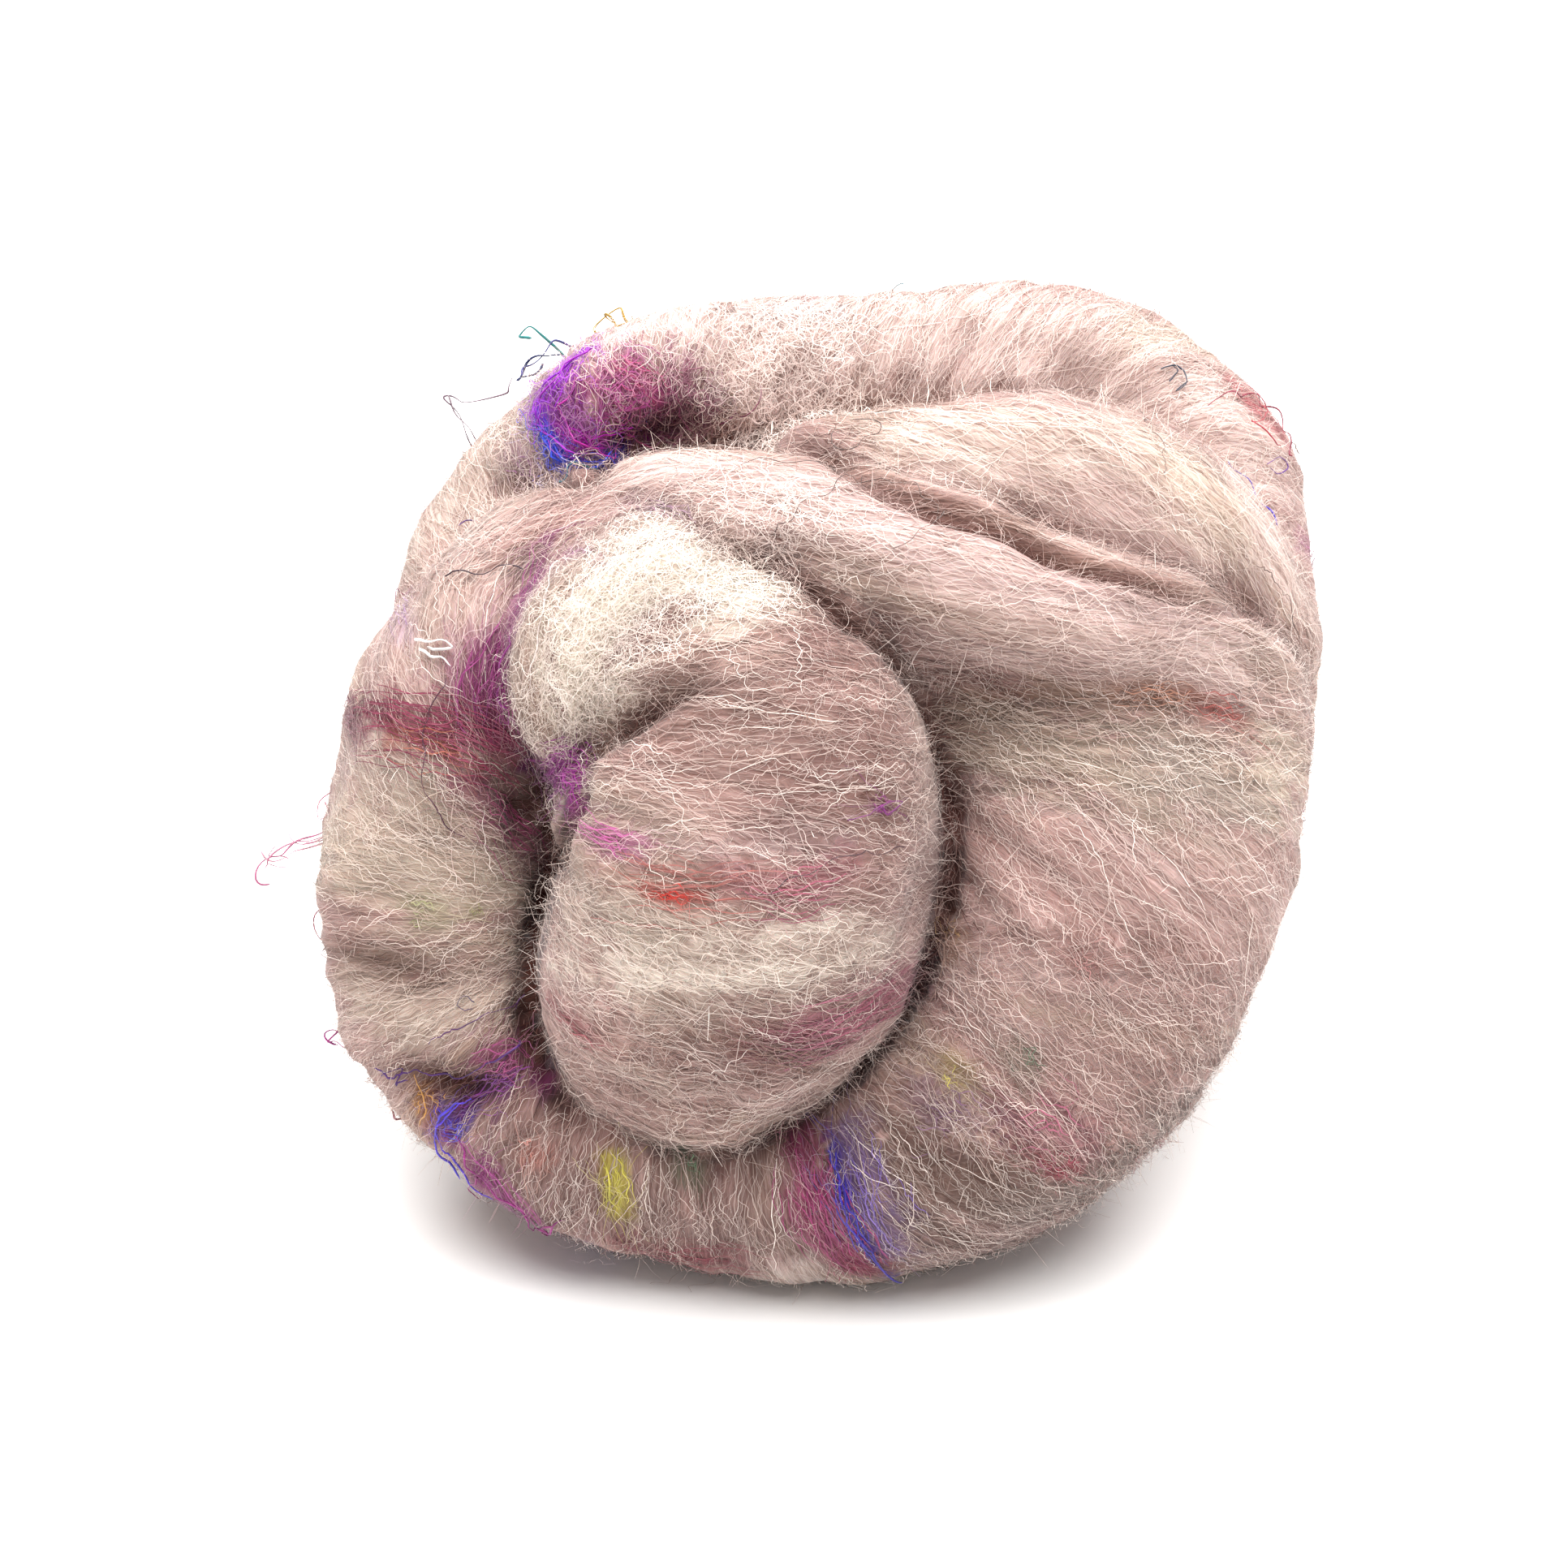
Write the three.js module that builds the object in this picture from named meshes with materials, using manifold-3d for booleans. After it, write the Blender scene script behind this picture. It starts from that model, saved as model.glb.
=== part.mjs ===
// A drum-carded wool batt for hand spinning, rolled into one thick rope and coiled into a bun.
// Millimetres, +Z up. The bun lies on its flat spot, and its coiled face looks up and to the front (-Y).
import * as THREE from "three";
import { mergeVertices } from "three/addons/utils/BufferGeometryUtils.js";
import Module from "manifold-3d";

// Driving sizes
const bun = {
  width: 200, // side to side, which the tables below are drawn to
  lean: 28, // degrees that the coiled face is tipped back from upright
  floor: -77.5, // height of the table under the middle of the face
};
const mesh = {
  sides: 22, // round a stretch of the rope
  step: 7.5, // along it
  capRings: 4, // in the rounded end of a stretch
};
const softness = {
  ridges: 5, // soft ridges round the rope, from the rolled-up layers
  ridge: 0.035, // their height, as a share of the rope's half width
  turn: 0.035, // radians that the ridges wind on for each millimetre along it
};

// Each stretch of the rope is a table with a row for each section.
// across, up and out say where the section's middle lies on the face, seen square on, with out towards the viewer.
// wide is the half width over the face, and deep the half thickness into it.
const columns = ["across", "up", "out", "wide", "deep"];
const stretches = {
  // The rolled end that fills the middle of the coil, from its foot to its top
  innerEnd: [
    [-22, -48, 33, 30, 22],
    [-20, -38, 38, 34, 29],
    [-15, -24, 41, 37, 34],
    [-12, -5, 41, 38, 35],
    [-10, 13, 40, 35, 32],
    [-8, 27, 38, 28, 27],
    [-7, 35, 36, 21, 21],
  ],
  // The top of the rolled end, bent over to the left and tucked down
  hook: [
    [12, 31, 40, 10, 12],
    [-8, 37, 45, 13, 15],
    [-26, 36, 48, 15, 17],
    [-39, 28, 46, 15, 17],
    [-44, 18, 40, 13, 15],
    [-44, 11, 32, 11, 13],
  ],
  // The front turn of the coil: upper left, down the left side, along the foot and up the right side
  frontTurn: [
    [-41, 44, 12, 19, 22],
    [-57, 30, 15, 21, 23],
    [-68, 10, 15, 23, 25],
    [-72, -10, 14, 24, 26],
    [-72, -31, 14, 24, 26],
    [-63, -50, 15, 23, 26],
    [-47, -64, 16, 21, 25],
    [-28, -72, 16, 19, 25],
    [-7, -75, 16, 20, 26],
    [15, -71, 17, 23, 28],
    [32, -60, 18, 28, 30],
    [44, -46, 18, 33, 32],
    [50, -28, 18, 36, 33],
    [54, -8, 18, 38, 33],
    [55, 12, 16, 39, 31],
  ],
  // The turn laid over the top of the coil, from the right side across to the upper left
  overTurn: [
    [83, 6, -8, 14, 17],
    [80, 19, 9, 16, 19],
    [70, 26, 24, 17, 20],
    [52, 30, 34, 17, 20],
    [33, 35, 40, 16, 19],
    [13, 42, 40, 15, 18],
    [-9, 48, 36, 13, 17],
    [-31, 50, 29, 12, 16],
    [-50, 44, 21, 13, 17],
    [-64, 32, 14, 14, 18],
  ],
  // The fold above it, parted from it by the long crease
  overFold: [
    [0, 60, 20, 8, 13],
    [21, 60, 23, 12, 17],
    [41, 58, 21, 16, 21],
    [60, 52, 15, 18, 23],
    [75, 42, 6, 17, 22],
    [84, 30, -2, 15, 19],
  ],
  // The back turn of the coil: from the top, down the right side and under the back
  backTurn: [
    [2, 86, -32, 14, 18],
    [20, 87, -33, 17, 20],
    [42, 86, -33, 19, 22],
    [63, 80, -34, 20, 24],
    [77, 65, -34, 21, 25],
    [81, 45, -34, 22, 27],
    [80, 22, -35, 23, 29],
    [75, -3, -37, 26, 31],
    [62, -25, -40, 29, 32],
    [38, -38, -42, 31, 33],
    [8, -41, -43, 31, 33],
  ],
  // The rest of it: under the back, up the left side and over the left shoulder
  backRise: [
    [30, -40, -43, 29, 31],
    [-4, -42, -43, 30, 32],
    [-34, -38, -41, 29, 32],
    [-57, -23, -37, 27, 30],
    [-68, -2, -32, 24, 28],
    [-69, 22, -27, 20, 26],
    [-66, 44, -27, 18, 23],
    [-55, 62, -28, 17, 21],
    [-42, 75, -31, 16, 19],
  ],
  // The turn between the front and the back ones, which hardly shows
  middleTurn: [
    [-66, 18, -6, 18, 21],
    [-50, 40, -8, 18, 21],
    [-24, 51, -14, 16, 19],
    [4, 55, -20, 18, 18],
    [34, 50, -15, 18, 20],
    [58, 36, -10, 22, 24],
    [67, 14, -10, 24, 26],
    [65, -12, -10, 24, 26],
  ],
  // The free outer end of the rope, lying in the dip behind the top
  freeEnd: [
    [14, 89, -31, 11, 14],
    [-4, 88, -27, 13, 15],
    [-20, 84, -22, 16, 18],
    [-34, 79, -18, 17, 18],
    [-43, 74, -14, 15, 16],
  ],
  // The pass of the rope that closes the back of the bun
  backPass: [
    [-56, 34, -44, 20, 18],
    [-34, 26, -60, 24, 22],
    [-4, 15, -68, 27, 24],
    [28, -1, -64, 27, 24],
    [54, -16, -50, 23, 20],
  ],
};
// The packed middle that the turns close round
const heart = {
  middle: [0, 0, -14],
  halfSizes: [80, 64, 54],
};

const named = (row) => Object.fromEntries(columns.map((name, i) => [name, row[i]]));

// Rings of points for one stretch, its round ends closed by a dome and a point
function rope(rows) {
  const sections = rows.map(named);
  const path = new THREE.CatmullRomCurve3(sections.map((s) => new THREE.Vector3(s.across, s.up, s.out)));
  const girth = new THREE.CatmullRomCurve3(sections.map((s) => new THREE.Vector3(s.wide, s.deep, 0)));
  const steps = Math.max(sections.length * 2, Math.round(path.getLength() / mesh.step));
  const towardsViewer = new THREE.Vector3(0, 0, 1);
  const rings = [];
  const ring = (t, shrink, push) => {
    const along = path.getTangent(t);
    const sideways = new THREE.Vector3().crossVectors(along, towardsViewer).normalize();
    const outwards = new THREE.Vector3().crossVectors(sideways, along).normalize();
    const { x: wide, y: deep } = girth.getPoint(t);
    const middle = path.getPoint(t).addScaledVector(along, push * Math.min(wide, deep));
    const wound = t * path.getLength() * softness.turn;
    const points = [];
    for (let i = 0; i < mesh.sides; i++) {
      const angle = (i / mesh.sides) * 2 * Math.PI;
      const swell = shrink * (1 + softness.ridge * Math.cos(softness.ridges * angle + wound));
      points.push(
        middle
          .clone()
          .addScaledVector(sideways, wide * swell * Math.cos(angle))
          .addScaledVector(outwards, deep * swell * Math.sin(angle)),
      );
    }
    return points;
  };
  const domeAngles = Array.from({ length: mesh.capRings }, (_, i) => ((i + 0.5) / mesh.capRings) * (Math.PI / 2));
  for (const a of domeAngles) rings.push(ring(0, Math.sin(a), -Math.cos(a)));
  for (let i = 0; i <= steps; i++) rings.push(ring(i / steps, 1, 0));
  for (const a of [...domeAngles].reverse()) rings.push(ring(1, Math.sin(a), Math.cos(a)));
  return closedSkin(rings);
}

// One closed skin over a row of rings, with a point at the middle of the first and the last
function closedSkin(rings) {
  const sides = mesh.sides;
  const points = rings.flat();
  const middleOf = (ring) => ring.reduce((sum, p) => sum.add(p), new THREE.Vector3()).divideScalar(sides);
  const first = points.push(middleOf(rings[0])) - 1;
  const last = points.push(middleOf(rings[rings.length - 1])) - 1;
  const faces = [];
  const tail = (rings.length - 1) * sides;
  for (let i = 0; i < sides; i++) {
    const next = (i + 1) % sides;
    faces.push(first, i, next);
    faces.push(last, tail + next, tail + i);
    for (let start = 0; start < tail; start += sides) {
      const [a, b, c, d] = [start + i, start + next, start + sides + i, start + sides + next];
      faces.push(a, c, b, b, c, d);
    }
  }
  const skin = new THREE.BufferGeometry().setFromPoints(points);
  skin.setIndex(faces);
  return skin;
}

function packedHeart() {
  const ball = new THREE.SphereGeometry(1, 20, 14);
  return ball.scale(...heart.halfSizes).translate(...heart.middle);
}

// The face's own frame (across, up, out) turned into the part's frame (X, Y, Z)
function stoodUp(geometry) {
  const upright = new THREE.Matrix4().makeRotationX(Math.PI / 2);
  const leant = new THREE.Matrix4().makeRotationX(THREE.MathUtils.degToRad(-bun.lean));
  return geometry.applyMatrix4(leant.multiply(upright));
}

const wasm = await Module();
wasm.setup();

function solidOf(geometry) {
  geometry.deleteAttribute("normal");
  geometry.deleteAttribute("uv");
  const closed = mergeVertices(geometry, 1e-3);
  const solid = new wasm.Manifold(
    new wasm.Mesh({
      numProp: 3,
      vertProperties: closed.getAttribute("position").array,
      triVerts: new Uint32Array(closed.index.array),
    }),
  );
  return solid;
}

function geometryOf(solid) {
  const { vertProperties, triVerts } = solid.getMesh();
  const geometry = new THREE.BufferGeometry();
  geometry.setAttribute("position", new THREE.BufferAttribute(vertProperties, 3));
  geometry.setIndex(new THREE.BufferAttribute(triVerts, 1));
  return geometry;
}

// Everything above the table, so that the bun gets the flat spot that its own weight presses on it
function aboveTable() {
  const reach = bun.width * 2;
  const block = new THREE.BoxGeometry(reach, reach, reach);
  return solidOf(block.translate(0, 0, bun.floor + reach / 2));
}

// The pockets that the stretches shut in between them are packed with wool too
function outerSkin(solid) {
  const skins = solid.decompose();
  return skins.reduce((most, skin) => (skin.volume() > most.volume() ? skin : most));
}

const pieces = [packedHeart(), ...Object.values(stretches).map(rope)];
const coiled = pieces.map((piece) => solidOf(stoodUp(piece))).reduce((whole, piece) => whole.add(piece));
const rested = geometryOf(outerSkin(coiled.intersect(aboveTable())));

// The origin is on the table, under the middle of the bun
rested.computeBoundingBox();
const { min, max } = rested.boundingBox;
rested.translate(-(min.x + max.x) / 2, -(min.y + max.y) / 2, -min.z);
rested.computeVertexNormals();

const wool = new THREE.MeshStandardMaterial({ color: "#d8bbb3", roughness: 1, metalness: 0 });
const batt = new THREE.Mesh(rested, wool);
batt.name = "batt";

const part = new THREE.Group();
part.add(batt);
export default part;
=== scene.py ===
import math

import bpy
import numpy as np
from mathutils import Matrix, Vector
from mathutils.bvhtree import BVHTree
from mathutils.kdtree import KDTree


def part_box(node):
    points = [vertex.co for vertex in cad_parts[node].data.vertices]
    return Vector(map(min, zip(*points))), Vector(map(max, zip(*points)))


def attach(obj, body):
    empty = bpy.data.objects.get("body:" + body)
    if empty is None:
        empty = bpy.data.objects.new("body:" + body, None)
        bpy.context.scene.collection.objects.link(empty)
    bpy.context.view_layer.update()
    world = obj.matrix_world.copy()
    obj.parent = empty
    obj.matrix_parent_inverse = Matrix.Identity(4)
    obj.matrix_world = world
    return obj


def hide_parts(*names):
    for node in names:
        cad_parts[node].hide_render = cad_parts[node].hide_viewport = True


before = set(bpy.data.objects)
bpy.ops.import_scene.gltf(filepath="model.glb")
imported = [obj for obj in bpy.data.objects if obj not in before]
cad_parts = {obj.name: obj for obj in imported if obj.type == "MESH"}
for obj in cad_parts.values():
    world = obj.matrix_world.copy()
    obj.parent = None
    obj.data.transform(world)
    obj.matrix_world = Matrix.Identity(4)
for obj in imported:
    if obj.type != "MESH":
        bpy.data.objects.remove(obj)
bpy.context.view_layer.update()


# The view of the batt
# The batt lies on its flat spot with its coiled face tipped back, and the eye is square on to that face,
# 60 cm off. All shapes below are in millimetres on the face: across to the right, up along it and out to
# the eye.

FACE_LEAN = math.radians(28)
FACE_AXES = np.array([
    [1, 0, 0],
    [0, math.sin(FACE_LEAN), math.cos(FACE_LEAN)],
    [0, -math.cos(FACE_LEAN), math.sin(FACE_LEAN)],
])  # across, up and out, in the part's frame
FACE_FROM_BOX = (-3.7, -5.2, 77.5)  # from the middle of the batt's foot to the middle of its face
EYE = np.array([-7.1, -0.2, 600.0])
SENSOR_WIDTH = 36
LENS = 69.3  # mm, so that 312 mm at the face fill the frame

batt_low, batt_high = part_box("batt")
batt_foot = np.array([(batt_low.x + batt_high.x) / 2, (batt_low.y + batt_high.y) / 2, batt_low.z])
face_middle = batt_foot + np.array(FACE_FROM_BOX) / 1000


def in_frame(points):
    """Points on the face, in millimetres, as metres in the part's frame."""
    return face_middle + np.asarray(points, float) / 1000 @ FACE_AXES


def height_above_table(points):
    """How many millimetres points on the face stand over the table."""
    return np.asarray(points) @ FACE_AXES[:, 2] + FACE_FROM_BOX[2]


camera = bpy.data.objects.new("camera", bpy.data.cameras.new("camera"))
bpy.context.scene.collection.objects.link(camera)
camera.data.lens = LENS
camera.data.sensor_width = SENSOR_WIDTH
camera.data.clip_start = 0.01
facing = Matrix(FACE_AXES.tolist()).transposed().to_4x4()
camera.matrix_world = Matrix.Translation(Vector(in_frame(EYE))) @ facing
bpy.context.scene.camera = camera


# The coiled rope of wool
# Carded wool comes off the drum as one soft sheet. It is rolled into a rope as thick as an arm and coiled on
# itself, and its own springiness holds it, with deep creases where the turns press together.
# Each row is a section of the rope: its middle's across, up and out, then its half width and half thickness.

rope = {
    "inner_end": [
        (-24, -48, 33, 28, 22), (-22, -38, 38, 32, 29), (-17, -24, 41, 35, 34), (-14, -5, 41, 36, 35),
        (-13, 13, 40, 32, 32), (-12, 27, 38, 24, 27), (-11, 34, 36, 18, 21),
    ],
    "hook": [
        (4, 28, 40, 9, 12), (-10, 32.5, 44, 11, 14), (-26, 35, 48, 14.5, 17), (-39, 28, 46, 15, 17),
        (-44, 18, 40, 13, 15), (-44, 11, 32, 11, 13),
    ],
    "front_turn": [
        (-41, 44, 12, 19, 22), (-57, 30, 15, 21, 23), (-68, 10, 15, 23, 25), (-72, -10, 14, 24, 26),
        (-72, -31, 14, 24, 26), (-63, -50, 15, 23, 26), (-47, -64, 16, 21, 25), (-28, -72, 16, 19, 25),
        (-7, -75, 16, 20, 26), (15, -71, 17, 23, 28), (32, -60, 18, 28, 30), (44, -46, 18, 33, 32),
        (50, -28, 18, 36, 33), (54, -8, 18, 38, 33), (55, 12, 16, 39, 31),
    ],
    "over_turn": [
        (83, 6, -8, 14, 17), (80, 17, 9, 14, 19), (70, 24, 23, 14, 20), (52, 28, 33, 15, 20),
        (33, 34, 39, 15, 19), (13, 41, 40, 15, 18), (-9, 48, 36, 13, 17), (-31, 50, 29, 12, 16),
        (-50, 44, 21, 13, 17), (-64, 32, 14, 14, 18),
    ],
    "over_fold": [
        (0, 60, 20, 8, 13), (21, 60, 23, 12, 17), (41, 58, 21, 16, 21), (60, 52, 15, 18, 23),
        (75, 42, 6, 17, 22), (84, 30, -2, 15, 19),
    ],
    "back_turn": [
        (2, 86, -32, 14, 18), (20, 87, -33, 17, 20), (42, 86, -33, 19, 22), (63, 80, -34, 20, 24),
        (77, 65, -34, 21, 25), (81, 45, -34, 22, 27), (80, 22, -35, 23, 29), (75, -3, -37, 26, 31),
        (62, -25, -40, 29, 32), (38, -38, -42, 31, 33), (8, -41, -43, 31, 33),
    ],
    "back_rise": [
        (30, -40, -43, 29, 31), (-4, -42, -43, 30, 32), (-34, -38, -41, 29, 32), (-57, -23, -37, 27, 30),
        (-68, -2, -32, 24, 28), (-69, 22, -27, 20, 26), (-66, 44, -27, 18, 23), (-55, 62, -28, 17, 21),
        (-42, 75, -31, 16, 19),
    ],
    "middle_turn": [
        (-66, 18, -6, 18, 21), (-50, 36, -8, 15, 21), (-24, 50, -14, 15, 19), (4, 55, -20, 18, 18),
        (34, 50, -15, 18, 20), (58, 36, -10, 22, 24), (67, 14, -10, 24, 26), (65, -12, -10, 24, 26),
    ],
    "free_end": [
        (14, 89, -31, 11, 14), (-4, 88, -27, 13, 15), (-20, 84, -22, 16, 18), (-34, 79, -18, 17, 18),
        (-43, 74, -14, 15, 16),
    ],
    "back_pass": [
        (-56, 34, -44, 20, 18), (-34, 26, -60, 24, 22), (-4, 15, -68, 27, 24), (28, -1, -64, 27, 24),
        (54, -16, -50, 23, 20),
    ],
}
# How the fibres lie along each stretch, evenly spaced from its start to its end, in degrees off the rope's
# own line, where 90 wraps straight round it.
combing = {
    "inner_end": (90, 90),
    "hook": (20, 10),
    "front_turn": (35, 30, 45, 62, 88, 100, 100, 98, 105, 116, 98, 72, 56, 58, 80),
    "over_turn": (12, 4),
    "over_fold": (-18, -10),
    "back_turn": (62, 68, 75),
    "back_rise": (80, 70, 62),
    "middle_turn": (90, 90),
    "free_end": (45, 60),
    "back_pass": (84, 84),
}
# How far the fibres bow along the stretch on either side, at its start and at its end, in degrees.
bowing = {"inner_end": (30, -24), "back_pass": (20, -20)}
HEART_MIDDLE = (0, 0, -14)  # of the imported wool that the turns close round
HEART_HALF_SIZES = (80, 64, 54)
SOFT_RIDGES = 5  # round the rope, from the rolled-up layers
RIDGE_SHARE = 0.035  # their height, as a share of the rope's half width
RIDGE_TURN = 0.035  # radians for each millimetre along the rope
ROPE_SIDES = 48
ROPE_STEP = 2.0  # mm between the rings of a stretch
SKIN_GRAIN = 1.7  # mm between the points of the wool's skin
SKIN_EASED = 3  # times, which takes the steps off the joined skin
LAY_EASED = 10  # times, which turns the fibres gently from one stretch into the next
STRETCHES_APART = 37.0  # in the pattern of the strands, so that no two stretches look alike


def through(rows, count):
    """A smooth curve through the rows, as count points."""
    rows = np.array(rows, float)
    ends = np.vstack([2 * rows[0] - rows[1], rows, 2 * rows[-1] - rows[-2]])
    gaps = np.maximum(np.linalg.norm(np.diff(ends, axis=0), axis=1), 1e-4) ** 0.5
    place = np.linspace(0, len(rows) - 1, count)
    i = np.minimum(place.astype(int), len(rows) - 2)
    t = (place - i)[:, None]
    p0, p1, p2, p3 = (ends[i + k] for k in range(4))
    d0, d1, d2 = (gaps[i + k][:, None] for k in range(3))
    leaving = ((p1 - p0) / d0 - (p2 - p0) / (d0 + d1) + (p2 - p1) / d1) * d1
    arriving = ((p2 - p1) / d1 - (p3 - p1) / (d1 + d2) + (p3 - p2) / d2) * d1
    return (
        p1
        + leaving * t
        + (-3 * p1 + 3 * p2 - 2 * leaving - arriving) * t**2
        + (2 * p1 - 2 * p2 + leaving + arriving) * t**3
    )


def unit(vectors):
    """The same directions, each one unit long."""
    return vectors / np.maximum(np.linalg.norm(vectors, axis=-1, keepdims=True), 1e-9)


def rope_rings(rows, sides, step, cap_rings=6):
    """Rings of points along one stretch, with what the combing needs at each point."""
    rows = np.array(rows, float)
    length = np.linalg.norm(np.diff(through(rows[:, :3], 200), axis=0), axis=1).sum()
    count = max(12, round(length / step))
    path = through(rows[:, :3], count)
    girth = through(rows[:, 3:], count)
    along = unit(np.gradient(path, axis=0))
    sideways = unit(np.cross(along, (0, 0, 1)))
    outwards = np.cross(sideways, along)
    dome = (np.arange(cap_rings) + 0.5) / cap_rings * math.pi / 2
    shrink = np.concatenate([np.sin(dome), np.ones(count), np.sin(dome[::-1])])[:, None]
    push = np.concatenate([-np.cos(dome), np.zeros(count), np.cos(dome[::-1])])[:, None]
    pick = np.concatenate([np.zeros(cap_rings, int), np.arange(count), np.full(cap_rings, count - 1)])
    side, out, ahead = (v[pick][:, None] for v in (sideways, outwards, along))
    wide, deep = girth[pick, 0][:, None], girth[pick, 1][:, None]
    middles = path[pick] + along[pick] * push * np.minimum(wide, deep)
    angle = np.linspace(0, 2 * math.pi, sides, endpoint=False)[None]
    travelled = (pick / (count - 1) * length)[:, None]
    swell = shrink * (1 + RIDGE_SHARE * np.cos(SOFT_RIDGES * angle + travelled * RIDGE_TURN))
    over_face = (wide * swell * np.cos(angle))[..., None] * side
    turned = over_face + (deep * swell * np.sin(angle))[..., None] * out
    around = unit((-wide * np.sin(angle))[..., None] * side + (deep * np.cos(angle))[..., None] * out)
    inward = np.array(HEART_MIDDLE) - middles
    seam = math.atan2((inward * outwards[pick]).sum(1).mean(), (inward * sideways[pick]).sum(1).mean())
    grid = (len(pick), sides)
    return {
        "points": middles[:, None] + turned,
        "ahead": np.broadcast_to(ahead, turned.shape),
        "around": around,
        "travelled": np.broadcast_to(travelled + push * np.minimum(wide, deep), grid),
        "wrapped": ((angle - seam) % (2 * math.pi)) * (wide + deep) / 2,
        "share": np.broadcast_to((pick / (count - 1))[:, None], grid),
        "angle": np.broadcast_to(angle, grid),
    }


def ring_faces(rings, sides, start):
    """The four-sided faces between rings, and a face over each end."""
    here = np.arange(rings - 1)[:, None] * sides + np.arange(sides)[None]
    beside = np.arange(rings - 1)[:, None] * sides + (np.arange(sides)[None] + 1) % sides
    walls = np.stack([here, beside, beside + sides, here + sides], -1).reshape(-1, 4) + start
    first = list(range(start + sides - 1, start - 1, -1))
    last = list(range(start + (rings - 1) * sides, start + rings * sides))
    return walls.tolist() + [first, last]


def heart_ball():
    """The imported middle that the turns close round, as rings too."""
    rings = 25
    pole = 0.02  # radians that the first and the last ring keep off the poles
    tilt = np.linspace(pole, math.pi - pole, rings)[:, None]
    angle = np.linspace(0, 2 * math.pi, ROPE_SIDES, endpoint=False)[None]
    ball = np.stack([
        np.sin(tilt) * np.cos(angle),
        np.cos(tilt) * np.ones_like(angle),
        np.sin(tilt) * np.sin(angle),
    ], -1)
    return ball * HEART_HALF_SIZES + HEART_MIDDLE


def joined_skin(bodies, grain):
    """One closed skin round all the bodies, as points and four-sided faces."""
    points = []
    faces = []
    total = 0
    for rings in bodies:
        faces += ring_faces(rings.shape[0], rings.shape[1], total)
        points.append(rings.reshape(-1, 3))
        total += rings.shape[0] * rings.shape[1]
    rough = bpy.data.meshes.new("rough")
    rough.from_pydata(np.vstack(points).tolist(), [], faces)
    holder = bpy.data.objects.new("rough", rough)
    bpy.context.scene.collection.objects.link(holder)
    remesh = holder.modifiers.new("remesh", "REMESH")
    remesh.mode = "VOXEL"
    remesh.voxel_size = grain
    made = holder.evaluated_get(bpy.context.evaluated_depsgraph_get())
    skin = bpy.data.meshes.new_from_object(made)
    bpy.data.objects.remove(holder)
    return skin


def mesh_points(mesh):
    flat = np.empty(len(mesh.vertices) * 3, np.float32)
    mesh.vertices.foreach_get("co", flat)
    return flat.reshape(-1, 3).astype(float)


def mesh_edges(mesh):
    flat = np.empty(len(mesh.edges) * 2, np.int32)
    mesh.edges.foreach_get("vertices", flat)
    return flat.reshape(-1, 2)


def mesh_quads(mesh):
    flat = np.empty(len(mesh.loops), np.int32)
    mesh.loops.foreach_get("vertex_index", flat)
    return flat.reshape(-1, 4)


def relaxed(values, edges, times):
    """Each value eased towards the mean of its neighbours' values, some times over."""
    near = np.concatenate([edges[:, 0], edges[:, 1]])
    far = np.concatenate([edges[:, 1], edges[:, 0]])
    degree = np.maximum(np.bincount(near, minlength=len(values)), 1)[:, None]
    for _ in range(times):
        sums = [np.bincount(near, values[far, k], minlength=len(values)) for k in range(values.shape[1])]
        values = 0.5 * values + 0.5 * np.stack(sums, 1) / degree
    return values


def outward_normals(points, quads):
    """The direction square to the skin at each point."""
    across = points[quads[:, 2]] - points[quads[:, 0]]
    other = points[quads[:, 3]] - points[quads[:, 1]]
    face = np.cross(across, other)
    corners = quads.ravel()
    spread = np.repeat(face, 4, axis=0)
    sums = [np.bincount(corners, spread[:, k], minlength=len(points)) for k in range(3)]
    return unit(np.stack(sums, 1))


def cloud(points, seed):
    """Soft random lumps between -1 and 1, one unit across. Large primes mix the numbers of each corner."""
    base = np.floor(points).astype(np.int64)
    part = points - base
    part = part * part * (3 - 2 * part)
    total = np.zeros(len(points))
    for corner in np.ndindex(2, 2, 2):
        cell = base + corner
        mixed = cell[:, 0] * 73856093 ^ cell[:, 1] * 19349663 ^ cell[:, 2] * 83492791 ^ (seed * 7919 + 13)
        mixed = (mixed ^ mixed >> 13) * 1274126177
        value = ((mixed ^ mixed >> 16) & 0xFFFF) / 32767.5 - 1
        weight = np.prod(np.where(corner, part, 1 - part), axis=1)
        total += value * weight
    return total


def route_distance(points, route):
    """How far each point is from a route, and how far along it, from 0 to 1."""
    route = np.asarray(route, float)
    best = np.full(len(points), 1e9)
    share = np.zeros(len(points))
    legs = len(route) - 1
    for i in range(legs):
        leg = route[i + 1] - route[i]
        t = np.clip((points - route[i]) @ leg / max(leg @ leg, 1e-9), 0, 1)
        gap = np.linalg.norm(points - route[i] - t[:, None] * leg, axis=1)
        share = np.where(gap < best, (i + t) / legs, share)
        best = np.minimum(best, gap)
    return best, share


def seen_on(tree, across, up):
    """Where the eye's line through a place on the face's plane meets the wool."""
    towards = np.array([across, up, 0.0]) - EYE
    hit, *_ = tree.ray_cast(Vector(EYE), Vector(unit(towards)))
    if hit is None:
        hit, *_ = tree.find_nearest(Vector((across, up, 0)))
    return np.array(hit)


stretch_rings = {name: rope_rings(rows, ROPE_SIDES, ROPE_STEP) for name, rows in rope.items()}
skin = joined_skin([rings["points"] for rings in stretch_rings.values()] + [heart_ball()], SKIN_GRAIN)
points = mesh_points(skin)
edges = mesh_edges(skin)
quads = mesh_quads(skin)
points = relaxed(points, edges, SKIN_EASED)

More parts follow.
